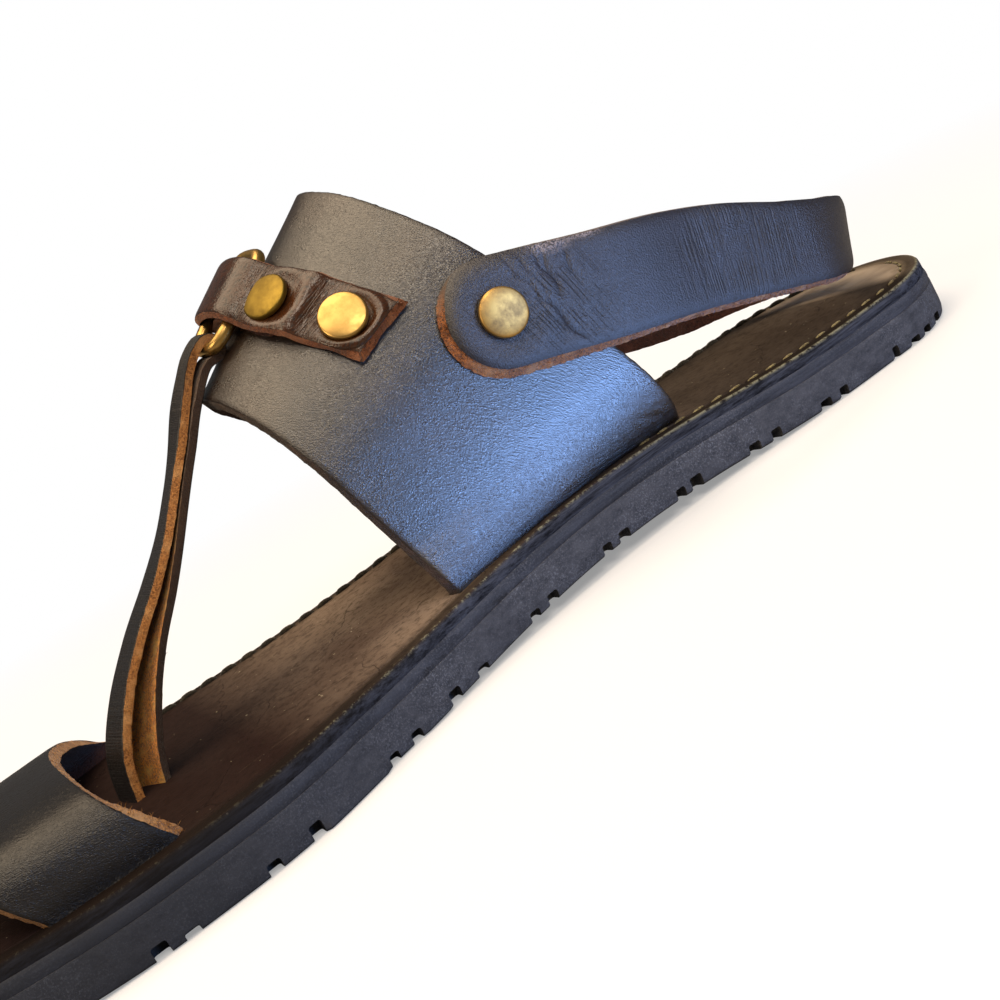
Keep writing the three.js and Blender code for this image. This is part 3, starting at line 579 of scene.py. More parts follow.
# %% [markdown]
# ## Finishes
# Each finish starts from the real material. One function turns a paint-shop hex colour to linear light and
# one adds a node with its settings and links. A third lays the stains of a finish over its ground colour,
# stacks its bumps from the widest to the finest and leads both to the shader, since every finish ends that
# way.

# %% Node tools
def paint(hex_colour):
    parts = [int(hex_colour[k:k + 2], 16) / 255 for k in (1, 3, 5)]
    return [c / 12.92 if c <= 0.04045 else ((c + 0.055) / 1.055) ** 2.4 for c in parts] + [1.0]


def put(tree, kind, links=None, output=0, **settings):
    """Adds a node, sets its properties, fills its inputs with values or sockets, and returns an output."""
    node = tree.nodes.new("ShaderNode" + kind)
    for key, value in settings.items():
        setattr(node, key, value)
    for key, value in (links or {}).items():
        if isinstance(value, bpy.types.NodeSocket):
            tree.links.new(value, node.inputs[key])
        elif value is not None:
            node.inputs[key].default_value = value
    return node.outputs[output] if node.outputs else None


def new_finish(name):
    finish = bpy.data.materials.new(name)
    finish.use_nodes = True
    finish.node_tree.nodes.clear()
    return finish, finish.node_tree


def cover(tree, ground_colour, stains, bumps, inputs):
    """A stain is a share and a colour; a bump is a height, a strength, a depth in millimetres and whether
    it is sunk. The inputs are the shader's other ones."""
    colour = paint(ground_colour)
    for share, stain in stains:
        stain = paint(stain) if isinstance(stain, str) else stain
        colour = put(tree, "Mix", {0: share, 6: colour, 7: stain}, 2, data_type="RGBA")
    bump = None
    for height, strength, depth, sunk in bumps:
        bump = put(tree, "Bump", {"Height": height, "Strength": strength, "Distance": depth * MM,
                                  "Normal": bump}, invert=sunk)
    shader = put(tree, "BsdfPrincipled", {"Base Color": colour, "Normal": bump, **inputs})
    put(tree, "OutputMaterial", {0: shader})


def per_mm(size):
    """Texture scale that gives a feature of this size in millimetres."""
    return 1 / (size * MM)


print("middle grey in linear light", round(paint("#808080")[0], 3))

# %% [markdown]
# ### Waxed grain leather
# Vegetable-tanned cow hide, dyed dark brown, waxed and worn. The eye sees a fine grain about half a
# millimetre across, short wrinkles that lean across the strip, and a waxy gloss that breaks up on both. A
# clear coat would lie smooth over the grain and hide it, so the wax is a low roughness under the bumps
# instead. Fields of hair-fine creases and rubbed spots are placed one by one, in millimetres on the flat
# strip.
# The furrows of the wrinkles and the fine creases are painted darker, as painted shade, and so is the foot of
# a strap where it goes down to the sole.

# %% Grain leather
def grain_leather(name, dark, brown, gloss, shine, cell, lean, stretch, relief, rubs=(), lines=(), foot=None):
    """Two dyes, a roughness and a specular level. Grain cells have a size in millimetres; wrinkles lean by
    degrees from the strip's run and are stretched, and their furrows are painted darker as painted shade.
    Rubs are worn spots: a place, two half sizes and a colour. Lines are fields of fine creases, each painted
    darker in the crease as painted shade: a place, two half sizes, a lean, a spacing and a depth. Foot
    gives the places on the strip where the painted shade towards the sole begins and is full."""
    finish, tree = new_finish(name)
    lay = put(tree, "Attribute", output="Vector", attribute_name="lay")
    lay = put(tree, "VectorMath", {0: lay, 1: (1.0, 1.0, 0.0)}, operation="MULTIPLY")
    body = put(tree, "TexCoord", output="Object")
    blotch, rubbed, pores = (
        put(tree, "TexNoise", {"Vector": body, "Scale": per_mm(size), "Detail": detail, "Roughness": fine})
        for size, detail, fine in ((22, 4.0, 0.6), (5, 6.0, 0.7), (0.35, 2.0, 0.5)))
    cells = put(tree, "TexVoronoi", {"Vector": lay, "Scale": per_mm(cell)}, feature="DISTANCE_TO_EDGE")
    pebble = put(tree, "MapRange", {0: cells, 1: 0.0, 2: 0.3})
    leaning = put(tree, "Mapping", {0: lay, 2: (0, 0, math.radians(lean)), 3: (stretch, 1.0, 1.0)},
                  vector_type="TEXTURE")
    wrinkle = put(tree, "TexNoise", {"Vector": leaning, "Scale": per_mm(0.9 * cell), "Detail": 2.0,
                                     "Distortion": 0.15})
    furrow = put(tree, "MapRange", {0: wrinkle, 1: 0.5, 2: 0.36, 3: 0.0, 4: 0.7})
    rough = put(tree, "MapRange", {0: rubbed, 1: 0.3, 2: 0.75, 3: gloss - 0.03, 4: gloss + 0.07})
    rough = put(tree, "Math", {0: furrow, 1: 0.16, 2: rough}, operation="MULTIPLY_ADD")
    # The furrows of the wrinkles are painted darker: painted shade in the grain.
    stains = [(put(tree, "MapRange", {0: blotch, 1: 0.36, 2: 0.68}), brown), (furrow, "#0c0908")]
    bumps = [(wrinkle, 0.7, 0.34 * relief, False)]

    def reach(x, y, half_x, half_y):
        """Distance from a spot on the strip, in its half sizes."""
        spot = put(tree, "Mapping", {0: lay, 1: (x * MM, y * MM, 0), 3: (half_x * MM, half_y * MM, 1.0)},
                   vector_type="TEXTURE")
        return put(tree, "VectorMath", {0: spot}, "Value", operation="LENGTH")

    # Painted shade: the strap is painted near-black towards its foot by the sole, and made rougher there.
    if foot:
        along = put(tree, "SeparateXYZ", {0: lay})
        foot_shade = put(tree, "MapRange", {0: along, 1: foot[0] * MM, 2: foot[1] * MM})
        rough = put(tree, "Math", {0: foot_shade, 1: 0.1, 2: rough}, operation="MULTIPLY_ADD")
        stains.append((foot_shade, "#060505"))
    for *spot, hex_colour in rubs:
        inside = put(tree, "MapRange", {0: reach(*spot), 1: 1.1, 2: 0.3})
        worn = put(tree, "MapRange", {0: pores, 1: 0.4, 2: 0.62})
        stains.append((put(tree, "Math", {0: inside, 1: worn}, operation="MULTIPLY"), hex_colour))
    for *spot, turn, spacing, depth in lines:
        drawn = put(tree, "Mapping", {0: lay, 2: (0, 0, math.radians(turn)), 3: (60.0, 1.0, 1.0)},
                    vector_type="TEXTURE")
        wave = put(tree, "TexNoise", {"Vector": drawn, "Scale": per_mm(spacing), "Detail": 1.0})
        aside = put(tree, "Math", {0: wave, 1: 0.5}, operation="SUBTRACT")
        aside = put(tree, "Math", {0: aside}, operation="ABSOLUTE")
        line = put(tree, "MapRange", {0: aside, 1: 0.06, 2: 0.0})
        for share in (put(tree, "MapRange", {0: reach(*spot), 1: 1.0, 2: 0.4}),
                      put(tree, "MapRange", {0: rubbed, 1: 0.38, 2: 0.62})):
            line = put(tree, "Math", {0: line, 1: share}, operation="MULTIPLY")
        # Each crease is painted darker along its line: painted shade in the crease.
        stains.append((put(tree, "Math", {0: line, 1: 0.6}, operation="MULTIPLY"), "#0c0908"))
        bumps.append((line, 0.8, depth, True))
    bumps += [(pebble, 0.6, 0.12 * relief, False), (pores, 0.5, 0.08 * relief, False)]
    cover(tree, dark, stains, bumps, {"Roughness": rough, "Specular IOR Level": shine})
    return finish


# %% Leather of each strap
band_grain = grain_leather("waxed_band_leather", "#140d09", "#281a10", 0.28, 0.9, 0.42, 32, 2.6, 0.42,
                           rubs=((25.1, 15, 0.9, 0.5, "#c9c6c2"),), lines=((17, 15, 12, 19, 78, 0.8, 0.2),),
                           foot=(13, 4))
heel_grain = grain_leather("waxed_heel_strap_leather", "#141013", "#1d181b", 0.4, 0.7, 0.42, 75, 1.5, 0.6,
                           rubs=((105.5, 11.4, 5.5, 2.6, "#8a7d79"), (97.5, 11.6, 4.5, 1.3, "#8a7d79")),
                           lines=((107, 0, 13, 14, 62, 1.0, 0.22), (62, 1, 24, 14, 86, 1.3, 0.24)))
strap_grain = grain_leather("waxed_strap_leather", "#0d0a0a", "#15100f", 0.32, 0.45, 0.5, 80, 2.4, 0.4,
                            foot=(6, 2))
t_grain = grain_leather("waxed_t_strap_leather", "#0f0c0b", "#1a1412", 0.36, 0.5, 0.45, 88, 3.0, 0.6,
                        lines=((160, 5, 55, 9, 90, 0.7, 0.35), (45, 5, 55, 9, 90, 0.7, 0.35)))
tab_grain = grain_leather("waxed_tab_leather", "#26140a", "#4a2a16", 0.2, 0.5, 0.5, 85, 2.4, 0.3,
                          lines=((13, 0, 4, 9, 84, 0.5, 0.3), (28.5, 0, 4, 9, 88, 0.6, 0.25)))
print("grain nodes of the band", len(band_grain.node_tree.nodes))

# %% [markdown]
# ### Flesh side, cut edges and thread
# Under the dye the hide is bare fibre: a knife-cut rim shows it raw and tan, the flesh side is brushed and
# brown, and thread is fibre too. Hair could be combed over all of them, but the fibres are shorter than a
# pixel, so a curled noise gives the nap. Dye that ran along an edge darkens it from one place to another.

# %% Bare fibre
def bare_fibre(name, tan, deep, pale, size=0.5, curl=0.6, relief=0.45, dyed=None):
    """Fibres of a size in millimetres, dry and dull. Dyed gives a way on the strip, X along or Y across, two
    places on it, the first still raw and the second dark with dye, and a colour."""
    finish, tree = new_finish(name)
    body = put(tree, "TexCoord", output="Object")
    fibre = put(tree, "TexNoise", {"Vector": body, "Scale": per_mm(size), "Detail": 5.0, "Roughness": 0.7,
                                   "Distortion": curl})
    clump = put(tree, "TexNoise", {"Vector": body, "Scale": per_mm(3.5), "Detail": 4.0})
    stains = [(put(tree, "MapRange", {0: fibre, 1: 0.4, 2: 0.58}), tan),
              (put(tree, "MapRange", {0: clump, 1: 0.48, 2: 0.7, 4: 0.6}), pale)]
    if dyed:
        way, raw, dark, hex_colour = dyed
        lay = put(tree, "Attribute", output="Vector", attribute_name="lay")
        place = put(tree, "SeparateXYZ", {0: lay}, way)
        stains.append((put(tree, "MapRange", {0: place, 1: raw * MM, 2: dark * MM, 4: 0.9}), hex_colour))
    cover(tree, deep, stains, [(fibre, 1.0, relief, False)],
          {"Roughness": 0.92, "Specular IOR Level": 0.2, "Sheen Weight": 0.2})
    return finish


flesh_side = bare_fibre("leather_flesh_side", "#43221a", "#26120d", "#553126")
loose_flesh = bare_fibre("loose_flesh_side", "#ee9a34", "#80491a", "#f8c566", 0.9, 2.5, 0.9,
                         ("X", 30, 66, "#2c2322"))
band_edge = bare_fibre("dyed_band_edge", "#3c281d", "#1b110c", "#5c4231")
heel_edge = bare_fibre("raw_heel_strap_edge", "#b0672b", "#3a1d0b", "#c68c56", 0.55, 1.2, 0.7,
                       ("Y", 3, 9, "#514841"))
tab_edge = bare_fibre("raw_tab_edge", "#985c3c", "#4a2817", "#ad7655", 0.4, 0.8, 0.4)
strap_edge = bare_fibre("raw_strap_edge", "#b9803f", "#66401f", "#d2a46c", 0.5, 1.0, 0.5)
t_edge = bare_fibre("raw_t_strap_edge", "#b07842", "#6b4324", "#c89a68", 0.4, 0.8, 0.4,
                    ("X", 106, 96, "#33292a"))
thread = bare_fibre("waxed_thread", "#241f18", "#100d0a", "#453d2e")
# A paler copy of the thread for the near side: painted highlight.
thread_lit_copy = bare_fibre("thread_painted_highlight", "#a1966f", "#5a503a", "#c4ba90")
print("leather and thread finishes", len(bpy.data.materials))

# %% [markdown]
# ### Footbed
# The footbed is the same hide, polished by a foot: brown where it is rubbed, with long scratches and hair
# cracks, and dirty towards the edge. Painted shade makes it nearly black from under the band back over the
# heel seat and dark and reddish under the toes, and deepens the dirt at the edge; a pale patch at the back of
# the heel is partly wear and partly painted light, and a pale line along the near rim is a painted highlight
# on a worn edge. It could be painted as a picture; noises and distances, each named for what it stands for,
# keep sharp at any size.

# %% Footbed finish
def footbed_leather():
    finish, tree = new_finish("worn_footbed_leather")
    body = put(tree, "TexCoord", output="Object")
    along = put(tree, "SeparateXYZ", {0: body})
    near_side = put(tree, "MapRange", {0: put(tree, "SeparateXYZ", {0: body}, 1), 1: -4 * MM, 2: 4 * MM})
    edge = put(tree, "SeparateXYZ", {0: put(tree, "Attribute", output="Vector", attribute_name="edge")})
    upward = put(tree, "SeparateXYZ", {0: put(tree, "NewGeometry", output="Normal")}, "Z")
    long_way = put(tree, "Mapping", {0: body, 2: (0, 0, math.radians(-6)), 3: (0.05, 1.0, 1.0)})
    blotch, mottle, crumbs, specks, pores, scratch = (
        put(tree, "TexNoise", {"Vector": way, "Scale": per_mm(size), "Detail": detail, "Roughness": fine})
        for way, size, detail, fine in (
            (body, 34, 5.0, 0.62), (body, 1.8, 5.0, 0.75), (body, 1.1, 5.0, 0.75), (body, 1.0, 1.0, 0.5),
            (body, 0.6, 4.0, 0.5), (long_way, 1.4, 6.0, 0.8)))
    heel_seat_shade, reddish_forefoot_shade, at_heel, forefoot_side_shade, rim_fade, gaps = (
        put(tree, "MapRange", {0: along, 1: start_at * MM, 2: end_at * MM, 3: least, 4: most})
        for start_at, end_at, least, most in (
            (-28, -72, 0.0, 0.82), (2, 50, 0.0, 0.96), (-127, -132, 0.0, 1.0), (5, 65, 0.0, 0.85),
            (62, 20, 0.12, 1.0), (-60, -10, 0.42, 0.52)))
    swirl = put(tree, "TexNoise", {"Vector": body, "Scale": per_mm(9), "Detail": 3.0}, "Color")
    push = put(tree, "VectorMath", {0: swirl, "Scale": 9 * MM}, operation="SCALE")
    bent = put(tree, "VectorMath", {0: body, 1: push}, operation="ADD")
    crack = put(tree, "TexVoronoi", {"Vector": bent, "Scale": per_mm(30)}, feature="DISTANCE_TO_EDGE")
    cracked = put(tree, "MapRange", {0: crack, 1: 0.0, 2: 0.006, 3: 0.6, 4: 0.0})
    for share in (put(tree, "MapRange", {0: blotch, 1: 0.42, 2: 0.52}),
                  put(tree, "MapRange", {0: edge, 1: 1.5 * MM, 2: 3 * MM})):
        cracked = put(tree, "Math", {0: cracked, 1: share}, operation="MULTIPLY")
    worn = put(tree, "MapRange", {0: put(tree, "SeparateXYZ", {0: swirl}), 1: 0.35, 2: 0.6, 3: 0.65, 4: 1.0})
    # A pale patch at the back end of the heel with a sharp front edge: partly wear, partly a painted pool of
    # light.
    heel_wear_and_light = put(tree, "Math", {0: at_heel, 1: worn}, operation="MULTIPLY")
    above_gaps = put(tree, "Math", {0: crumbs, 1: gaps}, operation="SUBTRACT")
    # A pale line along the rim, on the near side only and fading towards the toe: a painted highlight on the
    # rounded edge, partly worn pale.
    rim_highlight_and_wear = put(tree, "MapRange", {0: edge, 1: 1.3 * MM, 2: 0.8 * MM})
    for share in (near_side, rim_fade, put(tree, "MapRange", {0: above_gaps, 1: 0.0, 2: 0.1})):
        rim_highlight_and_wear = put(tree, "Math", {0: rim_highlight_and_wear, 1: share}, operation="MULTIPLY")
    side = put(tree, "MapRange", {0: upward, 1: 0.6, 2: 0.3})
    side_colour = paint("#1a1b1f")
    for share, hex_colour in ((put(tree, "MapRange", {0: scratch, 1: 0.4, 2: 0.62}), "#484b54"),
                              # painted shade: the side darkens towards the toe
                              (forefoot_side_shade, "#1a1714")):
        side_colour = put(tree, "Mix", {0: share, 6: side_colour, 7: paint(hex_colour)}, 2, data_type="RGBA")
    rough = put(tree, "MapRange", {0: blotch, 1: 0.3, 2: 0.7, 3: 0.76, 4: 0.62})
    rough = put(tree, "Math", {0: side, 1: 0.2, 2: rough}, operation="MULTIPLY_ADD")
    cover(tree, "#6a5a4f", (
        # painted shade: nearly black from under the band back over the heel seat
        (put(tree, "MapRange", {0: blotch, 1: 0.38, 2: 0.62}), "#8c7b6d"), (heel_seat_shade, "#25211c"),
        # painted shade: dark and reddish towards the toe
        (reddish_forefoot_shade, "#1d0f0e"),
        (put(tree, "MapRange", {0: mottle, 1: 0.52, 2: 0.36, 4: 0.55}), "#1a110d"),
        (put(tree, "MapRange", {0: scratch, 1: 0.62, 2: 0.76, 4: 0.45}), "#857462"), (cracked, "#0e0806"),
        (put(tree, "MapRange", {0: specks, 1: 0.78, 2: 0.81, 4: 0.85}), "#c0b59c"), (heel_wear_and_light, "#b5a38e"),
        # Darker within a few millimetres of the edge: partly dirt and partly painted shade, for the shade
        # under the band's foot.
        (put(tree, "MapRange", {0: edge, 1: 7.5 * MM, 2: 3 * MM, 4: 0.85}), "#191411"), (rim_highlight_and_wear, "#7d7a64"),
        (side, side_colour)),
        ((scratch, 0.4, 0.2, False), (cracked, 0.7, 0.25, True), (mottle, 0.4, 0.25, False),
         (pores, 0.6, 0.12, False)), {"Roughness": rough, "Specular IOR Level": 0.05})
    return finish


footbed = footbed_leather()
print("footbed nodes", len(footbed.node_tree.nodes))

# %% [markdown]
# ### Rubber and brass
# The sole is moulded rubber, grey with dust that gathers in patches, and painted darker towards the toe as
# painted shade. Rivets and ring are brass, polished and then dulled by touch: one noise drives both the
# tarnish and the roughness, because the same fingers made them.
# One copy of the brass is painted paler, as painted light, for the heel rivets, and one is painted darker, as
# painted shade, for the tab's tilted front rivet.

# %% Rubber and brass finishes
def dusty_rubber(name, black, dust, streaks, gloss, speckle):
    finish, tree = new_finish(name)
    body = put(tree, "TexCoord", output="Object")
    long_way = put(tree, "Mapping", {0: body, 3: (streaks, 1.0, 1.0)})
    scuff, patches, powder = (
        put(tree, "TexNoise", {"Vector": way, "Scale": per_mm(size), "Detail": detail, "Roughness": fine})
        for way, size, detail, fine in (
            (long_way, 1.8, 7.0, 0.72), (body, 16, 3.0, 0.5), (body, 0.4, 3.0, 0.8)))
    grit = put(tree, "Math", {0: put(tree, "MapRange", {0: powder, 1: 0.5, 2: 0.7, 4: speckle}),
                              1: put(tree, "MapRange", {0: patches, 1: 0.38, 2: 0.64, 3: 0.2, 4: 1.0})},
               operation="MULTIPLY")
    along = put(tree, "SeparateXYZ", {0: body})
    # Painted shade: darker towards the toe.
    toe_shade = put(tree, "MapRange", {0: along, 1: 5 * MM, 2: 75 * MM, 4: 0.75})
    rough = put(tree, "MapRange", {0: scuff, 1: 0.3, 2: 0.7, 3: gloss, 4: gloss + 0.18})
    cover(tree, black, ((put(tree, "MapRange", {0: scuff, 1: 0.36, 2: 0.68}), dust), (grit, "#94979e"),
                        (toe_shade, "#15171b")),
          ((scuff, 0.4, 0.25, False), (powder, 0.5, 0.16, False)),
          {"Roughness": rough, "Specular IOR Level": 0.35})
    return finish


def handled_brass(name, bright, dull, gloss):
    finish, tree = new_finish(name)
    body = put(tree, "TexCoord", output="Object")
    smudge, specks = (
        put(tree, "TexNoise", {"Vector": body, "Scale": per_mm(size), "Detail": detail, "Roughness": fine})
        for size, detail, fine in ((3.2, 5.0, 0.65), (0.9, 3.0, 0.5)))
    rough = put(tree, "MapRange", {0: smudge, 1: 0.35, 2: 0.7, 3: gloss, 4: gloss + 0.14})
    cover(tree, bright, ((put(tree, "MapRange", {0: smudge, 1: 0.4, 2: 0.66}), dull),
                         (put(tree, "MapRange", {0: specks, 1: 0.68, 2: 0.8, 4: 0.5}), "#5a4c33")),
          ((smudge, 0.12, 0.08, False),), {"Metallic": 1.0, "Roughness": rough})
    return finish


rubber = dusty_rubber("dusty_moulded_rubber", "#2d2e32", "#4e4f53", 0.5, 0.62, 0.5)
midsole_edge = dusty_rubber("dressed_midsole_edge", "#1c1d22", "#41444c", 0.04, 0.55, 0.25)
# A paler copy of the same brass, for the heel rivets: painted light.
brass_lit_copy = handled_brass("brass_painted_paler", "#c39c58", "#8f754b", 0.38)
gold_brass = handled_brass("polished_brass", "#b8975a", "#9c7f49", 0.28)
# A darker copy of the same brass, for the tab's tilted front rivet: painted shade.
brass_shaded_copy = handled_brass("brass_painted_darker", "#86702f", "#6f5b28", 0.4)
print("all finishes", len(bpy.data.materials))

# %% [markdown]
# ## The sole
# Three layers are glued together: the insole of leather, a thin midsole and the lugged outsole. Each is a
# slab with the true outline. A grid makes the top, its border is extruded down the side profile ring by
# ring, and a second grid closes the underside. A bevelled slab would be quicker, but each layer has its own
# profile, and the insole has a soft groove for its stitches.

# %% Sole tools
OUTLINE_STEPS, ACROSS_STEPS = 320, 40


def sole_grid(inset, height):
    plate = start(bpy.ops.mesh.primitive_grid_add, x_subdivisions=OUTLINE_STEPS, y_subdivisions=ACROSS_STEPS,
                  size=1)
    flat = places(plate)[:, :2] + 0.5
    medial, lateral = outline(inset, flat[:, 0] / 2), outline(inset, 1 - flat[:, 0] / 2)
    plan = lateral + (medial - lateral) * flat[:, 1:]
    move_to(plate, np.column_stack([plan, ground(plan[:, 0]) + height]))
    turn = np.where(flat[:, 1] > 0.5, flat[:, 0] / 2, 1 - flat[:, 0] / 2)
    border = (np.abs(flat - 0.5) > 0.4999).any(axis=1)
    note(plate, "turn", np.column_stack([turn, border, np.zeros(len(turn))]))
    return plate


def sole_layer(rows):
    """Rows of inset and height run from the top face down to the underside."""
    layer, under = sole_grid(*rows[0]), sole_grid(*rows[-1])
    under.data.flip_normals()
    bpy.ops.object.select_all(action="DESELECT")
    layer.select_set(True)
    bpy.context.view_layer.objects.active = layer
    bpy.ops.object.mode_set(mode="EDIT")
    bpy.ops.mesh.select_all(action="SELECT")
    bpy.ops.mesh.remove_doubles(threshold=1e-6)
    bpy.ops.mesh.select_mode(type="EDGE")
    bpy.ops.mesh.select_all(action="DESELECT")
    bpy.ops.mesh.select_non_manifold(extend=False, use_wire=False, use_multi_face=False,
                                     use_non_contiguous=False, use_verts=False)
    for inset, height in rows[1:]:
        bpy.ops.mesh.extrude_region_move(TRANSFORM_OT_translate={"value": (0, 0, -1e-4)})
        bpy.ops.object.mode_set(mode="OBJECT")
        points = places(layer) / MM - TO_FRAME
        ring = np.array([v.select for v in layer.data.vertices])
        plan = outline(inset, noted(layer, "turn")[ring, 0])
        points[ring] = np.column_stack([plan, ground(plan[:, 0]) + height])
        move_to(layer, points)
        bpy.ops.object.mode_set(mode="EDIT")
    bpy.ops.object.mode_set(mode="OBJECT")
    join([layer, under])
    face_outward(layer, weld=2e-5)
    return layer


def edge_distance(piece):
    """Keeps each vertex's distance in from the outline, for the cracks, the grime and painted shade near the
    edge, and the painted highlight on the rim.
    """
    points = places(piece) / MM - TO_FRAME
    fine = outline(0, np.linspace(0, 1, 1200, endpoint=False))
    near = np.array([np.min((fine[:, 0] - p[0]) ** 2 + (fine[:, 1] - p[1]) ** 2) for p in points]) ** 0.5
    note(piece, "edge", np.column_stack([near, near, near]) * MM)


# %% Three layers
outsole = sole_layer([(4.0, OUTSOLE_TOP), (0.2, OUTSOLE_TOP), (0.06, 8.12), (0.0, 7.9), (0.0, 6.4),
                      (0.0, 4.6), (0.0, 3.0), (0.1, 1.6), (0.4, 0.5), (1.2, 0.0), (5.0, 0.0)])
midsole = sole_layer([(4.0, MIDSOLE_TOP), (0.34, MIDSOLE_TOP), (0.26, 10.9), (0.12, 10.3), (0.02, 9.7),
                      (0.02, 9.2), (0.1, 8.6), (0.2, OUTSOLE_TOP), (4.0, OUTSOLE_TOP)])
insole = sole_layer([(6.0, INSOLE_TOP), (5.2, INSOLE_TOP), (4.7, INSOLE_TOP - 0.35), (4.2, INSOLE_TOP),
                     (1.3, INSOLE_TOP), (0.75, INSOLE_TOP - 0.12), (0.45, INSOLE_TOP - 0.5), (0.35, 12.4),
                     (0.3, 11.1), (0.34, MIDSOLE_TOP), (4.0, MIDSOLE_TOP)])

# some lugs on the inner side are worn out to a slope: from, to, and how far it stands out at the ground
LUG_SLOPES = ((185.6, 201.4, 1.2), (169.0, 176.6, 0.7))
SLOPE_TOP, SLOPE_FADE, SLOPE_MARGIN = 4.4, 1.2, 1.6
points = places(outsole) / MM - TO_FRAME
height = points[:, 2] - ground(points[:, 0])
beside = points[:, 1] > sole_edge(points[:, 0], 1) - SLOPE_MARGIN
for begin, stop, out in LUG_SLOPES:
    inside = np.clip(np.minimum(points[:, 0] - begin, stop - points[:, 0]) / SLOPE_FADE + 0.5, 0, 1)
    points[:, 1] += beside * inside * out * np.clip((SLOPE_TOP - height) / SLOPE_TOP, 0, 1)
move_to(outsole, points)
for layer in (outsole, midsole, insole):
    print("layer", len(layer.data.vertices), "vertices")

# %% [markdown]
# The tread's side notches come in pairs, with a shallow groove across the sole between them. A block with
# rounded edges stands at each place, and all are cut out of the rubber at once with a boolean. Moulded
# notches are uneven from wear, so each block is a little wider or deeper than the last by a noise of its
# place.

# %% Lugs
LUG_PAIRS = [(19, 25), (30, 36.5), (53.5, 59), (73, 79), (95, 99.5), (116, 121), (137.5, 143), (159, 167),
             (178, 184), (203, 212), (228, 233.5), (252, 259), (274, 280)]
NOTCH_WIDTH, NOTCH_DEPTH, NOTCH_REACH, NOTCH_PAST = 2.8, 2.3, 4.0, 4.0
NOTCH_VARIES = 1.1
GROOVE_WIDTH, GROOVE_DEPTH, GROOVE_MARGIN, GROOVE_SHORTEST = 2.8, 2.4, 20.0, 8.0
BELOW_FLOOR, BLOCK_ROUND = 2.0, 0.5


def groove_block(x, y_low, y_high, width, depth):
    height = float(ground(x)) + depth + BELOW_FLOOR
    centre = np.array([x, (y_low + y_high) / 2, height / 2 - BELOW_FLOOR]) + TO_FRAME
    block = start(bpy.ops.mesh.primitive_cube_add, size=1, location=Vector(centre) * MM,
                  scale=(width * MM, (y_high - y_low) * MM, height * MM))
    bpy.ops.object.transform_apply()
    apply(block, "BEVEL", width=BLOCK_ROUND * MM, segments=2)
    return block


blocks = []
for pair in LUG_PAIRS:
    for x in pair:
        for side in (1, -1):
            reach = sorted(float(sole_edge(x, side)) + side * step for step in (NOTCH_PAST, -NOTCH_REACH))
            uneven = NOTCH_VARIES * Vector(noise.noise_vector(Vector((0.37 * x, 5.0 * side, 0.5))))
            blocks.append(groove_block(x, *reach, NOTCH_WIDTH + uneven.x, NOTCH_DEPTH + uneven.y))
    middle = sum(pair) / 2
    low, high = float(sole_edge(middle, -1)) + GROOVE_MARGIN, float(sole_edge(middle, 1)) - GROOVE_MARGIN
    if high - low > GROOVE_SHORTEST:
        blocks.append(groove_block(middle, low, high, GROOVE_WIDTH, GROOVE_DEPTH))
cutters = join(blocks)
apply(outsole, "BOOLEAN", operation="DIFFERENCE", object=cutters, solver="EXACT")
bpy.data.objects.remove(cutters)
print("outsole with lugs", len(outsole.data.polygons), "faces from", len(blocks), "cuts")

# %% Dress the sole
edge_distance(insole)
for layer, name, slot, node, finish in (
        (outsole, "outsole_rubber", "sole_rubber", "outsole", rubber),
        (midsole, "midsole_edge", "midsole_leather", "midsole", midsole_edge),
        (insole, "insole_footbed", "footbed_leather", "insole", footbed)):
    layer.data.materials.clear()
    layer.data.materials.append(finish)
    smooth(layer, 35)
    settle(layer, name, slot, node)

# %% [markdown]
# ## The straps
# Creases are soft troughs, each listed on the flat strip: where it starts and ends, how wide it is
# and how deep. The heel strap has a fan of them beside its rivet and a second group further back. The tab
# is pressed in under its caps and has a ridge between them. The band's inner foot bends in before it goes
# into its slot. A noise would crease the leather everywhere alike; placed one by one, the creases tell how it
# was worn.

# %% Trough and lip
CAP_RADIUS = 5.1
# depth of the band's bend at the foot and the distance that it takes
FOOT_BEND, FOOT_RUN = 3.4, 10.0


def trough(lay, start_spot, end_spot, width, depth):
    """A soft trough along a line on the strip, fading out at both ends."""
    a, b = np.array(start_spot, float), np.array(end_spot, float)
    run_length = np.linalg.norm(b - a)
    way = (b - a) / run_length
    offset = lay[:, :2] - a
    along = offset @ way
    aside = np.abs(offset @ np.array([-way[1], way[0]]) + 0.35 * np.sin(along * 0.9))
    fade = np.clip(1 - (np.abs(along - run_length / 2) / (run_length / 2)) ** 4, 0, 1)
    return -depth * np.exp(-((aside / width) ** 2)) * fade


def lip(lay, centre, depth, height, lip_at, lip_width):
    """Leather pressed in under a rivet's cap, with a raised lip at a distance and of a width in cap radii."""
    distance = np.hypot(lay[:, 0] - centre[0], lay[:, 1] - centre[1]) / CAP_RADIUS
    raised = height * np.exp(-(((distance - lip_at) / lip_width) ** 2))
    return raised - depth * np.exp(-((distance / 0.95) ** 4))


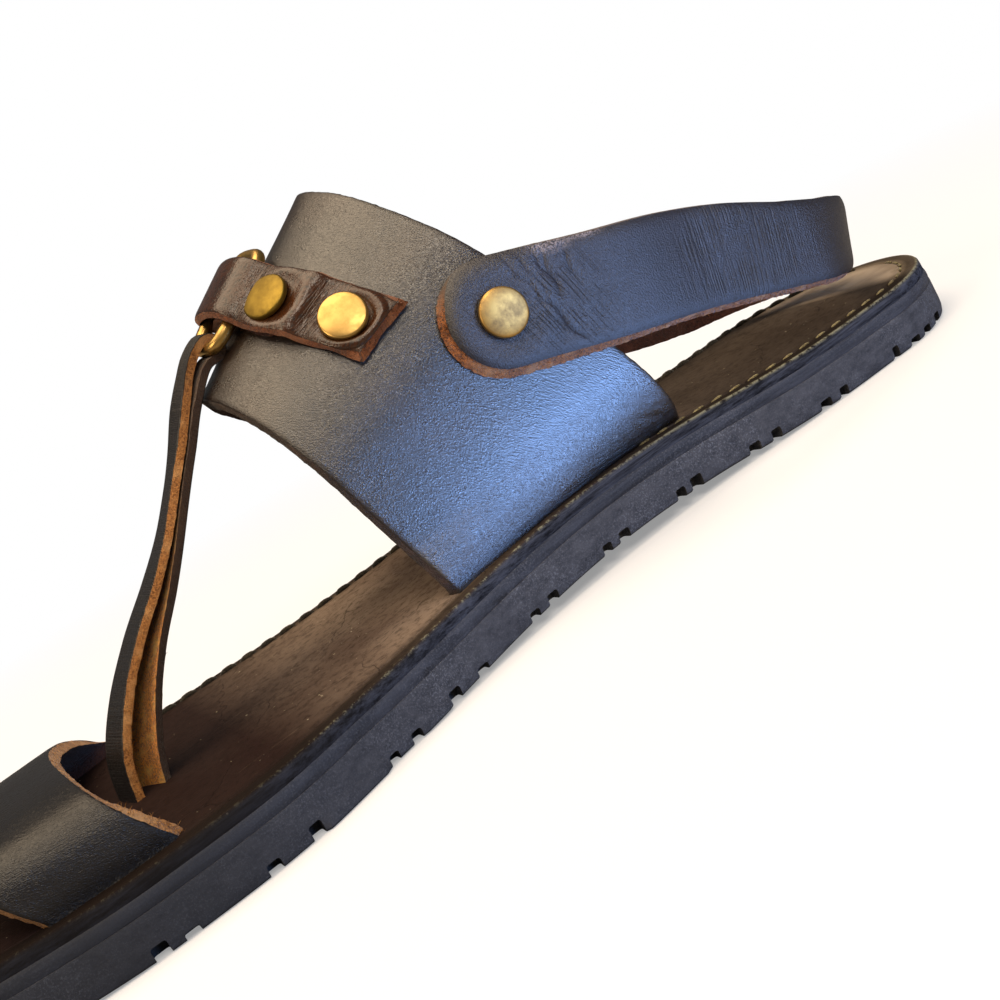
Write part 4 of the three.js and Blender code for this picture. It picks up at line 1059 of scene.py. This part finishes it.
# %% Creases of each strap
# start and end on the strip, width and depth: the fan beside the rivet, then the group further back
HEEL_CREASES = [
    ((116.4, 11.5), (103.2, -10.5), 0.6, 0.28), ((113.4, 11.8), (105.2, -7.5), 0.55, 0.22),
    ((110.2, 11.8), (106.3, 1), 0.6, 0.28), ((108.2, 11.9), (105.9, 0), 0.6, 0.3),
    ((108.8, -2), (102.2, -11.5), 0.55, 0.25), ((103.6, 11), (102.2, 2.5), 0.55, 0.22),
    ((101.5, -2.5), (97, -10.5), 0.5, 0.1), ((112, 2), (107.6, -6), 0.5, 0.13),
    ((74, 9.5), (71.2, -8.5), 0.6, 0.09), ((71.4, 8.5), (68.2, -3.5), 0.5, 0.08),
    ((77.4, 7), (75.5, -9.5), 0.55, 0.08), ((68.3, 10), (65.6, 3), 0.5, 0.08),
    ((64.7, 8), (69, -10), 0.5, 0.07), ((61.3, 10), (61.5, 5), 0.6, 0.1),
    ((57.4, 9.8), (57.8, 4.5), 0.5, 0.07), ((52.8, 9.6), (53.4, 3), 0.5, 0.06),
    ((47.4, 9), (50, 0), 0.5, 0.06), ((72.8, -2), (73.4, -10), 0.5, 0.07),
]


def heel_creases(lay):
    depth = sum(trough(lay, *row) for row in HEEL_CREASES)
    for side in (1, -1):
        depth = depth + lip(lay, (side * HEEL_RIVET_ALONG, 0), 0.3, 0.3, 1.75, 0.5)
    return depth


def tab_creases(lay):
    back, front = (TAB_RIVETS[name][0] for name in ("tab_rivet_back", "tab_rivet_front"))
    to_end = np.clip(0.5 - (lay[:, 0] - back) / 9, 0.1, 1)
    depth = lip(lay, (back, 0), 0.2, 0, 1, 1) + to_end * lip(lay, (back, 0), 0, 0.8, 1.22, 0.17)
    depth = depth + lip(lay, (front, 0), 0.5, 0.25, 1.3, 0.2)
    for along, deep in ((12.2, 0.12), (13.3, 0.16), (14.4, 0.12), (28.4, 0.1), (29.6, 0.1)):
        depth = depth + trough(lay, (along, -6.6), (along + 0.8, 6.6), 0.4, deep)
    for along, high, width in ((17.4, 0.75, 1.7), (30, -0.25, 2.5)):
        depth = depth + high * np.exp(-(((lay[:, 0] - along) / width) ** 2))
    return depth


def band_creases(lay):
    depth = 0.35 * np.sin(lay[:, 0] / 17 + lay[:, 1] / 21) * np.sin(lay[:, 1] / 15 - 0.6)
    depth = depth - FOOT_BEND * np.clip(1 - lay[:, 0] / FOOT_RUN, 0, 1) ** 2
    for start_spot, end_spot, deep in (((27, 3), (37, 9), 0.1), ((22, 1.5), (34, 11), 0.13),
                                       ((18, 3), (30, 12), 0.1), ((15, 1), (26, 9), 0.12)):
        depth = depth + trough(lay, start_spot, end_spot, 0.6, deep)
    return depth


def plain_lie(lay):
    return 0.12 * np.sin(lay[:, 0] / 6) * np.sin(lay[:, 1] / 5 + 1)


print(len(HEEL_CREASES), "creases on the heel strap")

# %% [markdown]
# Each strap is one row of a table, since all are made the same way: a sheet to lie on, a grid, creases, a
# wall and a cut edge. The edge is rolled down and drawn in after the wall is made, because a knife held at
# a slant leaves the grain side smaller than the flesh side.

# %% Sheets
def strip_of(surface, length, width):
    """A sheet of even width: its third place is the distance to the nearer long edge."""
    def sheet(u, v):
        return surface(u, v), np.column_stack([u * length, v * width, np.minimum(v, 1 - v) * width])
    return sheet


# shares of the grid and the places along the strip that they reach: closer columns where it is creased
HEEL_COLUMNS = ((0.06, 0.56, 0.94), (HEEL_RIVET_ALONG, 42.0, -HEEL_RIVET_ALONG))


def heel_sheet(u, v):
    along = np.interp(u, *HEEL_COLUMNS)
    tip = heel_end - HEEL_RIVET_ALONG
    end_share = np.maximum(1 - np.minimum(u, 1 - u) / HEEL_COLUMNS[0][0], 0)
    along = along + np.where(u < 0.5, 1, -1) * tip * np.sin(end_share * np.pi / 2)
    half = heel_row(along)[1]
    up = (2 * v - 1) * half
    end = HEEL_STRAP[-1, 2] / 2 - np.hypot(np.maximum(np.abs(along) - HEEL_RIVET_ALONG, 0), up)
    inward = np.clip(np.minimum(half - np.abs(up), end), 0, 9)
    return heel_place(along, up), np.column_stack([along, up, inward])


TAB_STRIP = 66.0
# half widths towards the toe and towards the heel, on the flat and at the fold
TAB_TOE_HALF, TAB_HEEL_HALF = (7.2, 5.2), (7.9, 8.7)


def tab_sheet(u, v):
    spot = even(tab_line, u)
    fold_share = np.clip((spot[:, 0] - TAB_RIVETS["tab_rivet_front"][0]) / 10, 0, 1)
    toe, heel = (flat + (fold - flat) * fold_share for flat, fold in (TAB_TOE_HALF, TAB_HEEL_HALF))
    sideways = v * (toe + heel) - heel
    inward = np.minimum(np.minimum(v, 1 - v) * (toe + heel), u * TAB_STRIP)
    points = over_band(spot[:, 0], sideways, spot[:, 1])[0]
    return points, np.column_stack([u * TAB_STRIP, sideways, inward])


# %% Cut edges
def all_round(along, across):
    return 1.0


def under_and_end(along, up):
    """Most at the round end on the inner side, less along the underside, least along the top."""
    tip = min(max((along - HEEL_RIVET_ALONG) / 9, 0), 1)
    run_in = 0.5 + 0.5 * min(max((along - 88) / 22, 0), 1)
    return (1 + 0.1 * tip) * run_in * (1 - 0.9 * min(max((up - 5 * tip) / 6, 0), 1))


def mostly_end(along, sideways):
    return 0.35 + 0.65 * min(max(1.6 - along / 3, 0), 1)


# %% Lay the straps
# node, finishes, thickness, sheet, columns and rows, creases, the edge's reach, roll, slant and weight, fray
straps = (
    ("instep_band", (band_grain, flesh_side, band_edge), BAND_LEATHER, strip_of(band_surface, 212, 58),
     240, 66, band_creases, (1.6, 0.4, 0.3, all_round), 0.12),
    ("heel_strap", (heel_grain, flesh_side, heel_edge), STRAP_LEATHER, heel_sheet, 480, 56,
     heel_creases, (4.2, 0.9, 1.4, under_and_end), 0.28),
    ("toe_strap", (strap_grain, flesh_side, strap_edge), STRAP_LEATHER, strip_of(toe_surface, 124, 27),
     170, 40, plain_lie, (2.4, 0.5, 0.8, all_round), 0.22),
    ("t_strap", (t_grain, loose_flesh, t_edge), T_LEATHER, strip_of(t_place, 205, 10), 280, 18,
     plain_lie, (1.2, 0.3, 0.1, all_round), 0.12),
    ("ring_tab", (tab_grain, flesh_side, tab_edge), TAB_LEATHER, tab_sheet, 200, 44, tab_creases,
     (2.2, 0.35, 1.1, mostly_end), 0.12),
)
dressed = {}
for node, finishes, thickness, sheet, along, across, creases, edge, frayed in straps:
    strap = lay_strap(sheet, along, across, thickness, creases, finishes)
    shape_edge(strap, *edge)
    fray(strap, frayed, edge[-1])
    smooth(strap, 60)
    settle(strap, node + "_leather", "strap_leather", node)
    dressed[node] = strap

# %% [markdown]
# A knife leaves loose fibres on a raw edge. One fibre is a thin tapering thread, extruded from a small
# circle with a curl in it. Copies stand out of the cut rims, more at the worn places, with a seeded choice
# of place. Particle hair would do it too, but it isn't a mesh and would be lost when the part is exported.

# %% Loose fibres
FIBRE_RADIUS = 0.05
FIBRE_STEPS = ((0.28, 0.02, 0.95), (0.28, 0.08, 0.85), (0.26, 0.16, 0.7), (0.18, 0.2, 0.4))


def one_fibre():
    fibre = start(bpy.ops.mesh.primitive_circle_add, vertices=4, radius=FIBRE_RADIUS * MM, fill_type="NGON")
    bpy.ops.object.mode_set(mode="EDIT")
    bpy.ops.mesh.select_all(action="SELECT")
    at = Vector((0, 0, 0))
    for lift, aside, shrink in FIBRE_STEPS:
        step = Vector((aside, 0, lift)) * MM
        at = at + step
        bpy.ops.mesh.extrude_region_move(TRANSFORM_OT_translate={"value": step})
        bpy.ops.transform.resize(value=(shrink, shrink, 1), center_override=at)
    bpy.ops.object.mode_set(mode="OBJECT")
    face_outward(fibre)
    return fibre


def loose_fibres(name, strap, where, count, longest, finish, seed):
    """Fibres on those faces of the cut rim whose place on the strip the function accepts."""
    chance = np.random.default_rng(seed)
    lay = noted(strap, "lay") / MM
    rim_faces = [face for face in strap.data.polygons
                 if face.material_index == RIM and where(*lay[face.vertices[0], :2])]
    model = one_fibre()
    copies = []
    for face in (rim_faces[k] for k in chance.integers(0, len(rim_faces), count)):
        corners = np.array([strap.data.vertices[k].co for k in face.vertices])
        spot = Vector(chance.dirichlet(np.ones(len(corners))) @ corners)
        way = (Vector(face.normal) + 0.8 * Vector(chance.normal(size=3))).normalized()
        if way.dot(face.normal) < 0.15:
            way = face.normal.copy()
        size = longest * chance.uniform(0.35, 1)
        turn = Vector((0, 0, 1)).rotation_difference(way).to_matrix().to_4x4()
        roll = Matrix.Rotation(chance.uniform(0, 6.28), 4, "Z")
        longer = Matrix.Diagonal((1, 1, size, 1))
        copies.append(copy_to(model, Matrix.Translation(spot) @ turn @ roll @ longer))
    bpy.data.objects.remove(model)
    tuft = join(copies)
    tuft.data.materials.append(finish)
    settle(tuft, name, "strap_leather")


loose_fibres("heel_strap_fibres", dressed["heel_strap"], lambda along, up: along > 40 and up < 3,
             260, 0.9, heel_edge, 3)
loose_fibres("toe_strap_fibres", dressed["toe_strap"], lambda along, across: along < 30 and across < 8,
             90, 1.3, strap_edge, 5)
loose_fibres("t_strap_fibres", dressed["t_strap"], lambda along, across: along < 50, 60, 0.7, t_edge, 7)

# %% [markdown]
# ## Rivets and ring
# A rivet's cap is a low dome with a rolled rim, pressed on a shank. It starts as a short cylinder: the top
# is inset and lifted in steps for the dome, and the rim is bevelled. A lathed profile would give the same;
# insets keep the steps of the dome in one short table.

# %% Rivets
CAP_HEIGHT, BACK_RADIUS, BACK_HEIGHT, SHANK_RADIUS = 1.7, 3.6, 0.9, 1.5
CAP_SINKS = {"tab_rivet_back": 0.4, "tab_rivet_front": 0.85}
CAP_DOME, BACK_DOME = 0.45, 0.2
# each inset as a share of the radius, and its lift as a share of the dome
DOME_STEPS = ((0.1, 0.3), (0.14, 0.3), (0.2, 0.22), (0.26, 0.18))


def select_top(piece):
    bpy.ops.object.mode_set(mode="OBJECT")
    top = max(face.center.z for face in piece.data.polygons)
    for face in piece.data.polygons:
        face.select = face.center.z > top - 1e-6
    bpy.ops.object.mode_set(mode="EDIT")


def disc(radius, height, dome):
    piece = start(bpy.ops.mesh.primitive_cylinder_add, vertices=64, radius=radius * MM, depth=height * MM)
    bpy.ops.object.mode_set(mode="EDIT")
    bpy.ops.mesh.select_mode(type="FACE")
    for inset, lift in DOME_STEPS:
        select_top(piece)
        bpy.ops.mesh.inset(thickness=inset * radius * MM)
        bpy.ops.transform.translate(value=(0, 0, lift * dome * MM))
    bpy.ops.object.mode_set(mode="OBJECT")
    apply(piece, "BEVEL", width=0.35 * MM, segments=3, limit_method="ANGLE",
          angle_limit=math.radians(50))
    return piece


def rivet(name, point, normal, under, through, finish):
    cap = disc(CAP_RADIUS, CAP_HEIGHT - CAP_DOME, CAP_DOME)
    cap.data.transform(Matrix.Translation((0, 0, (under + (CAP_HEIGHT - CAP_DOME) / 2) * MM)))
    back = disc(BACK_RADIUS, BACK_HEIGHT - BACK_DOME, BACK_DOME)
    back.data.transform(Matrix.Translation((0, 0, (through + BACK_HEIGHT / 2) * MM)))
    back.data.transform(Matrix.Rotation(math.pi, 4, "X"))
    shank = start(bpy.ops.mesh.primitive_cylinder_add, vertices=24, radius=SHANK_RADIUS * MM,
                  depth=(under + through + 0.4) * MM, location=(0, 0, (under - through) / 2 * MM))
    bpy.ops.object.transform_apply()
    join([cap, back, shank])
    turn = Vector((0, 0, 1)).rotation_difference(Vector(normal)).to_matrix().to_4x4()
    cap.data.transform(Matrix.Translation(Vector((point + TO_FRAME) * MM)) @ turn)
    cap.data.materials.append(finish)
    smooth(cap, 40)
    settle(cap, name + "_cap", "brass", name)


# %% Rivets in place
inside = BAND_LEATHER / 2 + 2 * SEAT_GAP
# The heel rivets take the brass that is painted paler, as painted light.
for name, along in (("heel_rivet_medial", HEEL_RIVET_ALONG), ("heel_rivet_lateral", -HEEL_RIVET_ALONG)):
    spot = np.array([along])
    centre = heel_place(spot, np.zeros(1))
    point, _, normal = band_at(centre[:, 0], centre[:, 2], spot < 0)
    rivet(name, point[0], normal[0], BAND_LEATHER / 2 + STRAP_LEATHER + 1.6 * SEAT_GAP, inside, brass_lit_copy)
# The tab's tilted front rivet takes the brass that is painted darker, as painted shade.
for name, (along, lean) in TAB_RIVETS.items():
    point, _, normal = over_band(along, 0.0, -BAND_LEATHER / 2)
    tab_run = unit(over_band(along + 1, 0.0, -BAND_LEATHER / 2)[0] - point)
    top = float(follow(TAB_TOP, 1, np.array(float(along)))) + TAB_LEATHER / 2
    rivet(name, point[0], unit(normal - lean * tab_run)[0],
          BAND_LEATHER / 2 + top + SEAT_GAP - CAP_SINKS[name], inside + abs(lean) * BACK_RADIUS,
          brass_shaded_copy if lean else gold_brass)

# %% [markdown]
# The ring is a length of brass wire bent to a rounded oblong and brazed. A torus has the wire's round
# section all the way, so its round path is bent to the oblong and the section is carried along.

# %% Ring
RING_THICK, ROUND_PATH = 1.5, 10
ring = start(bpy.ops.mesh.primitive_torus_add, major_segments=120, minor_segments=16,
             major_radius=ROUND_PATH, minor_radius=RING_THICK)
spots = places(ring)
turn = np.arctan2(spots[:, 1], spots[:, 0])
out = np.hypot(spots[:, 0], spots[:, 1]) - ROUND_PATH


def ring_path(angle):
    def rounded(value):
        return np.sign(value) * np.abs(value) ** (2 / RING_SQUARE)
    half, shift = (RING_FRONT + RING_REAR) / 2, (RING_FRONT - RING_REAR) / 2
    return (ring_middle + ring_forward * (shift + half * rounded(np.cos(angle)))[:, None]
            + ring_side * (ring_half * rounded(np.sin(angle)))[:, None])


ring_up = unit(np.cross(ring_forward, ring_side))
ring_run = unit(ring_path(turn + 0.01) - ring_path(turn - 0.01))
move_to(ring, ring_path(turn) + np.cross(ring_run, ring_up) * out[:, None] + ring_up * spots[:, 2:])
ring.data.materials.append(gold_brass)
face_outward(ring)
smooth(ring, 60)
settle(ring, "ring_wire", "brass", "ring")

# %% [markdown]
# ## Stitching
# A lockstitch holds the insole to the midsole, sunk in a groove near the edge. One stitch is a rounded
# grain of thread, modelled once and copied along the groove. On the near side the thread is thin and painted
# pale, a painted highlight; on the far side it is thick and dark and stands over the rim.

# %% Stitches
STITCH_IN, STITCH_LEAN = 4.7, 0.12
groove = outline(STITCH_IN, np.linspace(0, 1, 4000))
groove_run = np.concatenate([[0], np.cumsum(np.linalg.norm(np.diff(groove, axis=0), axis=1))])


def stitch_row(name, finish, pitch, size, first, last):
    """Copies one stitch of a size along the groove between two distances from the heel's middle."""
    grain_of_thread = start(bpy.ops.mesh.primitive_uv_sphere_add, segments=10, ring_count=6, radius=0.5)
    grain_of_thread.data.transform(Matrix.Diagonal((*(side * MM for side in size), 1)))
    copies = []
    for at in np.arange(first, last, pitch):
        here, ahead = (np.array([np.interp(at + step, groove_run, column) for column in groove.T])
                       for step in (0, 1))
        spot = np.array([*here, float(ground(here[0])) + INSOLE_TOP]) + TO_FRAME
        turn = Matrix.Rotation(math.atan2(*(ahead - here)[::-1]) + STITCH_LEAN, 4, "Z")
        copies.append(copy_to(grain_of_thread, Matrix.Translation(Vector(spot) * MM) @ turn))
    bpy.data.objects.remove(grain_of_thread)
    row = join(copies)
    row.data.materials.append(finish)
    smooth(row, 60)
    settle(row, name, "footbed_leather")


half_run = groove_run[-1] / 2
stitch_row("inner_stitches", thread_lit_copy, 5.0, (3.4, 0.8, 0.7), 12, 128)
stitch_row("outer_stitches", thread, 5.4, (4.8, 1.8, 2.0), half_run, groove_run[-1] - 4)

# %% [markdown]
# ## Studio
# The camera stands low on the inner side and is rolled, as the photograph is, so the sandal can stand on
# its sole and still lie across the frame. The numbers are those of a camera that was fitted to the
# photograph.

# %% Camera
CAMERA_AT = np.array([235.3, 263.5, 76.4])
CAMERA_RIGHT, CAMERA_UP = np.array([-0.754, 0.428, -0.498]), np.array([-0.534, 0.042, 0.845])
FOCAL_PIXELS, FRAME_PIXELS, SENSOR = 1326.8, 1000.0, 36.0
right = unit(CAMERA_RIGHT)
up = unit(CAMERA_UP - right * (CAMERA_UP @ right))
back = np.cross(right, up)
eye = bpy.data.cameras.new("camera")
eye.sensor_width = SENSOR
eye.lens = FOCAL_PIXELS / FRAME_PIXELS * SENSOR
eye.clip_start = 0.01
camera = bpy.data.objects.new("camera", eye)
turned = Matrix([[*row, 0] for row in np.column_stack([right, up, back])] + [[0, 0, 0, 1]])
camera.matrix_world = Matrix.Translation(Vector((CAMERA_AT + TO_FRAME) * MM)) @ turned
bpy.context.collection.objects.link(camera)
bpy.context.scene.camera = camera
print("camera", np.round(camera.matrix_world.translation, 3), "lens", round(eye.lens, 1))

# %% [markdown]
# The floor is pale and fades into a white room. Dark waxed leather shows little but what it mirrors, and a
# white floor would turn it grey. A photographer lays dark card just outside the frame; here floor and room
# are darker to every ray but the camera's.

# %% Floor
floor = start(bpy.ops.mesh.primitive_grid_add, x_subdivisions=8, y_subdivisions=8, size=14)
floor.name = "floor"
finish, tree = new_finish("pale_floor")
away = put(tree, "VectorMath", {0: put(tree, "TexCoord", output="Object")}, "Value", operation="LENGTH")
far = put(tree, "MapRange", {0: away, 1: 0.1, 2: 0.45, 3: 0.3, 4: 1.0})
matt = put(tree, "BsdfDiffuse", {"Color": paint("#eef3ff")})
seen = put(tree, "LightPath", output="Is Camera Ray")
glow = put(tree, "Emission", {"Color": (1.0, 1.0, 1.0, 1.0), "Strength": 1.0})
pale = put(tree, "MixShader", {0: far, 1: matt, 2: glow})
flag = put(tree, "BsdfDiffuse", {"Color": paint("#9a9a9a")})
put(tree, "OutputMaterial", {0: put(tree, "MixShader", {0: seen, 1: flag, 2: pale})})
floor.data.materials.append(finish)
floor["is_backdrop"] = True
print("floor", round(floor.dimensions.x), "m wide")

# %% [markdown]
# Light comes from a cool window on the heel side and from a warm room. The window is two broad boxes, and
# what it throws on the floor is two bright cards that the band and the heel strap mirror: they give the
# blue sheen low on the leather. Three warm boxes stand in front, at the toe and above. Light linking, a
# studio's flags, keeps each cool light on the pieces that mirror it, so that the tab and the T-strap stay
# brown.

# %% Lights
def softbox(name, place, way, size, colour, watts, onto=()):
    """An area light at a place in metres, whose back faces a way. Flags keep it on the pieces in onto."""
    light = bpy.data.lights.new(name, "AREA")
    light.shape, light.size, light.size_y = "RECTANGLE", *size
    light.color, light.energy = colour, watts
    lamp = bpy.data.objects.new(name, light)
    lamp.location = place
    lamp.rotation_euler = Vector(way).to_track_quat("Z", "Y").to_euler()
    lamp.visible_camera = False
    bpy.context.collection.objects.link(lamp)
    if onto:
        lamp.light_linking.receiver_collection = bpy.data.collections.new(name + "_reaches")
        for piece in onto:
            lamp.light_linking.receiver_collection.objects.link(piece)
    radiance = watts / (math.pi * size[0] * size[1])
    print(name, "gives", round(radiance, 1), "W per square metre and steradian")


# %% Lights in place
LOW_PIECES = ("heel_strap_leather", "heel_rivet_medial_cap", "outsole_rubber", "midsole_edge",
              "insole_footbed")
low_pieces = [bpy.data.objects[name] for name in LOW_PIECES]
band, heel, toe = (dressed[node] for node in ("instep_band", "heel_strap", "toe_strap"))
COOL = (0.24, 0.46, 1.0)
softbox("window", (-0.33, 0.93, 0.12), (-0.33, 0.93, 0.05), (0.34, 0.26), (0.32, 0.54, 1.0), 2.8,
        [*low_pieces, band, toe])
softbox("window_low", (-0.3, 0.6, 0.08), (-0.3, 0.6, 0), (0.3, 0.24), (0.4, 0.53, 1.0), 2.0, low_pieces)
softbox("window_on_floor", (-0.05, 0.14, 0.003), (0, 0, -1), (0.1, 0.16), COOL, 0.98, [band])
softbox("floor_glow", (-0.07, 0.2, 0.003), (0, 0, -1), (0.12, 0.3), COOL, 0.55, [heel])
softbox("front", (0.0, 0.86, 0.86), (0, 0.7, 0.7), (0.5, 0.5), (1.0, 0.86, 0.68), 6.5)
softbox("warm_toe", (0.93, 0.22, 0.6), (0.85, 0.2, 0.5), (0.4, 0.4), (1.0, 0.76, 0.5), 4)
softbox("overhead", (0.12, 0.02, 1.2), (0.1, 0, 1), (1.1, 1.1), (1.0, 0.79, 0.55), 17.5)

# %% Room
ROOM_GLOW = 0.14
room = bpy.data.worlds.new("white_room")
bpy.context.scene.world = room
room.use_nodes = True
room.node_tree.nodes.clear()
seen = put(room.node_tree, "LightPath", output="Is Camera Ray")
strength = put(room.node_tree, "MapRange", {0: seen, 3: ROOM_GLOW, 4: 1.0})
sky = put(room.node_tree, "Background", {"Color": (1.0, 1.0, 1.0, 1.0), "Strength": strength})
put(room.node_tree, "OutputWorld", {0: sky})
bpy.context.scene.view_settings.view_transform = "Standard"
print("room shines", ROOM_GLOW, "on the sandal and 1 to the camera")

# %% [markdown]
# Last, the size of the box round the dressed sandal is printed.

# %% Size and finish
low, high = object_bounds()
print("visual box", np.round(np.array(high) - np.array(low), 4))
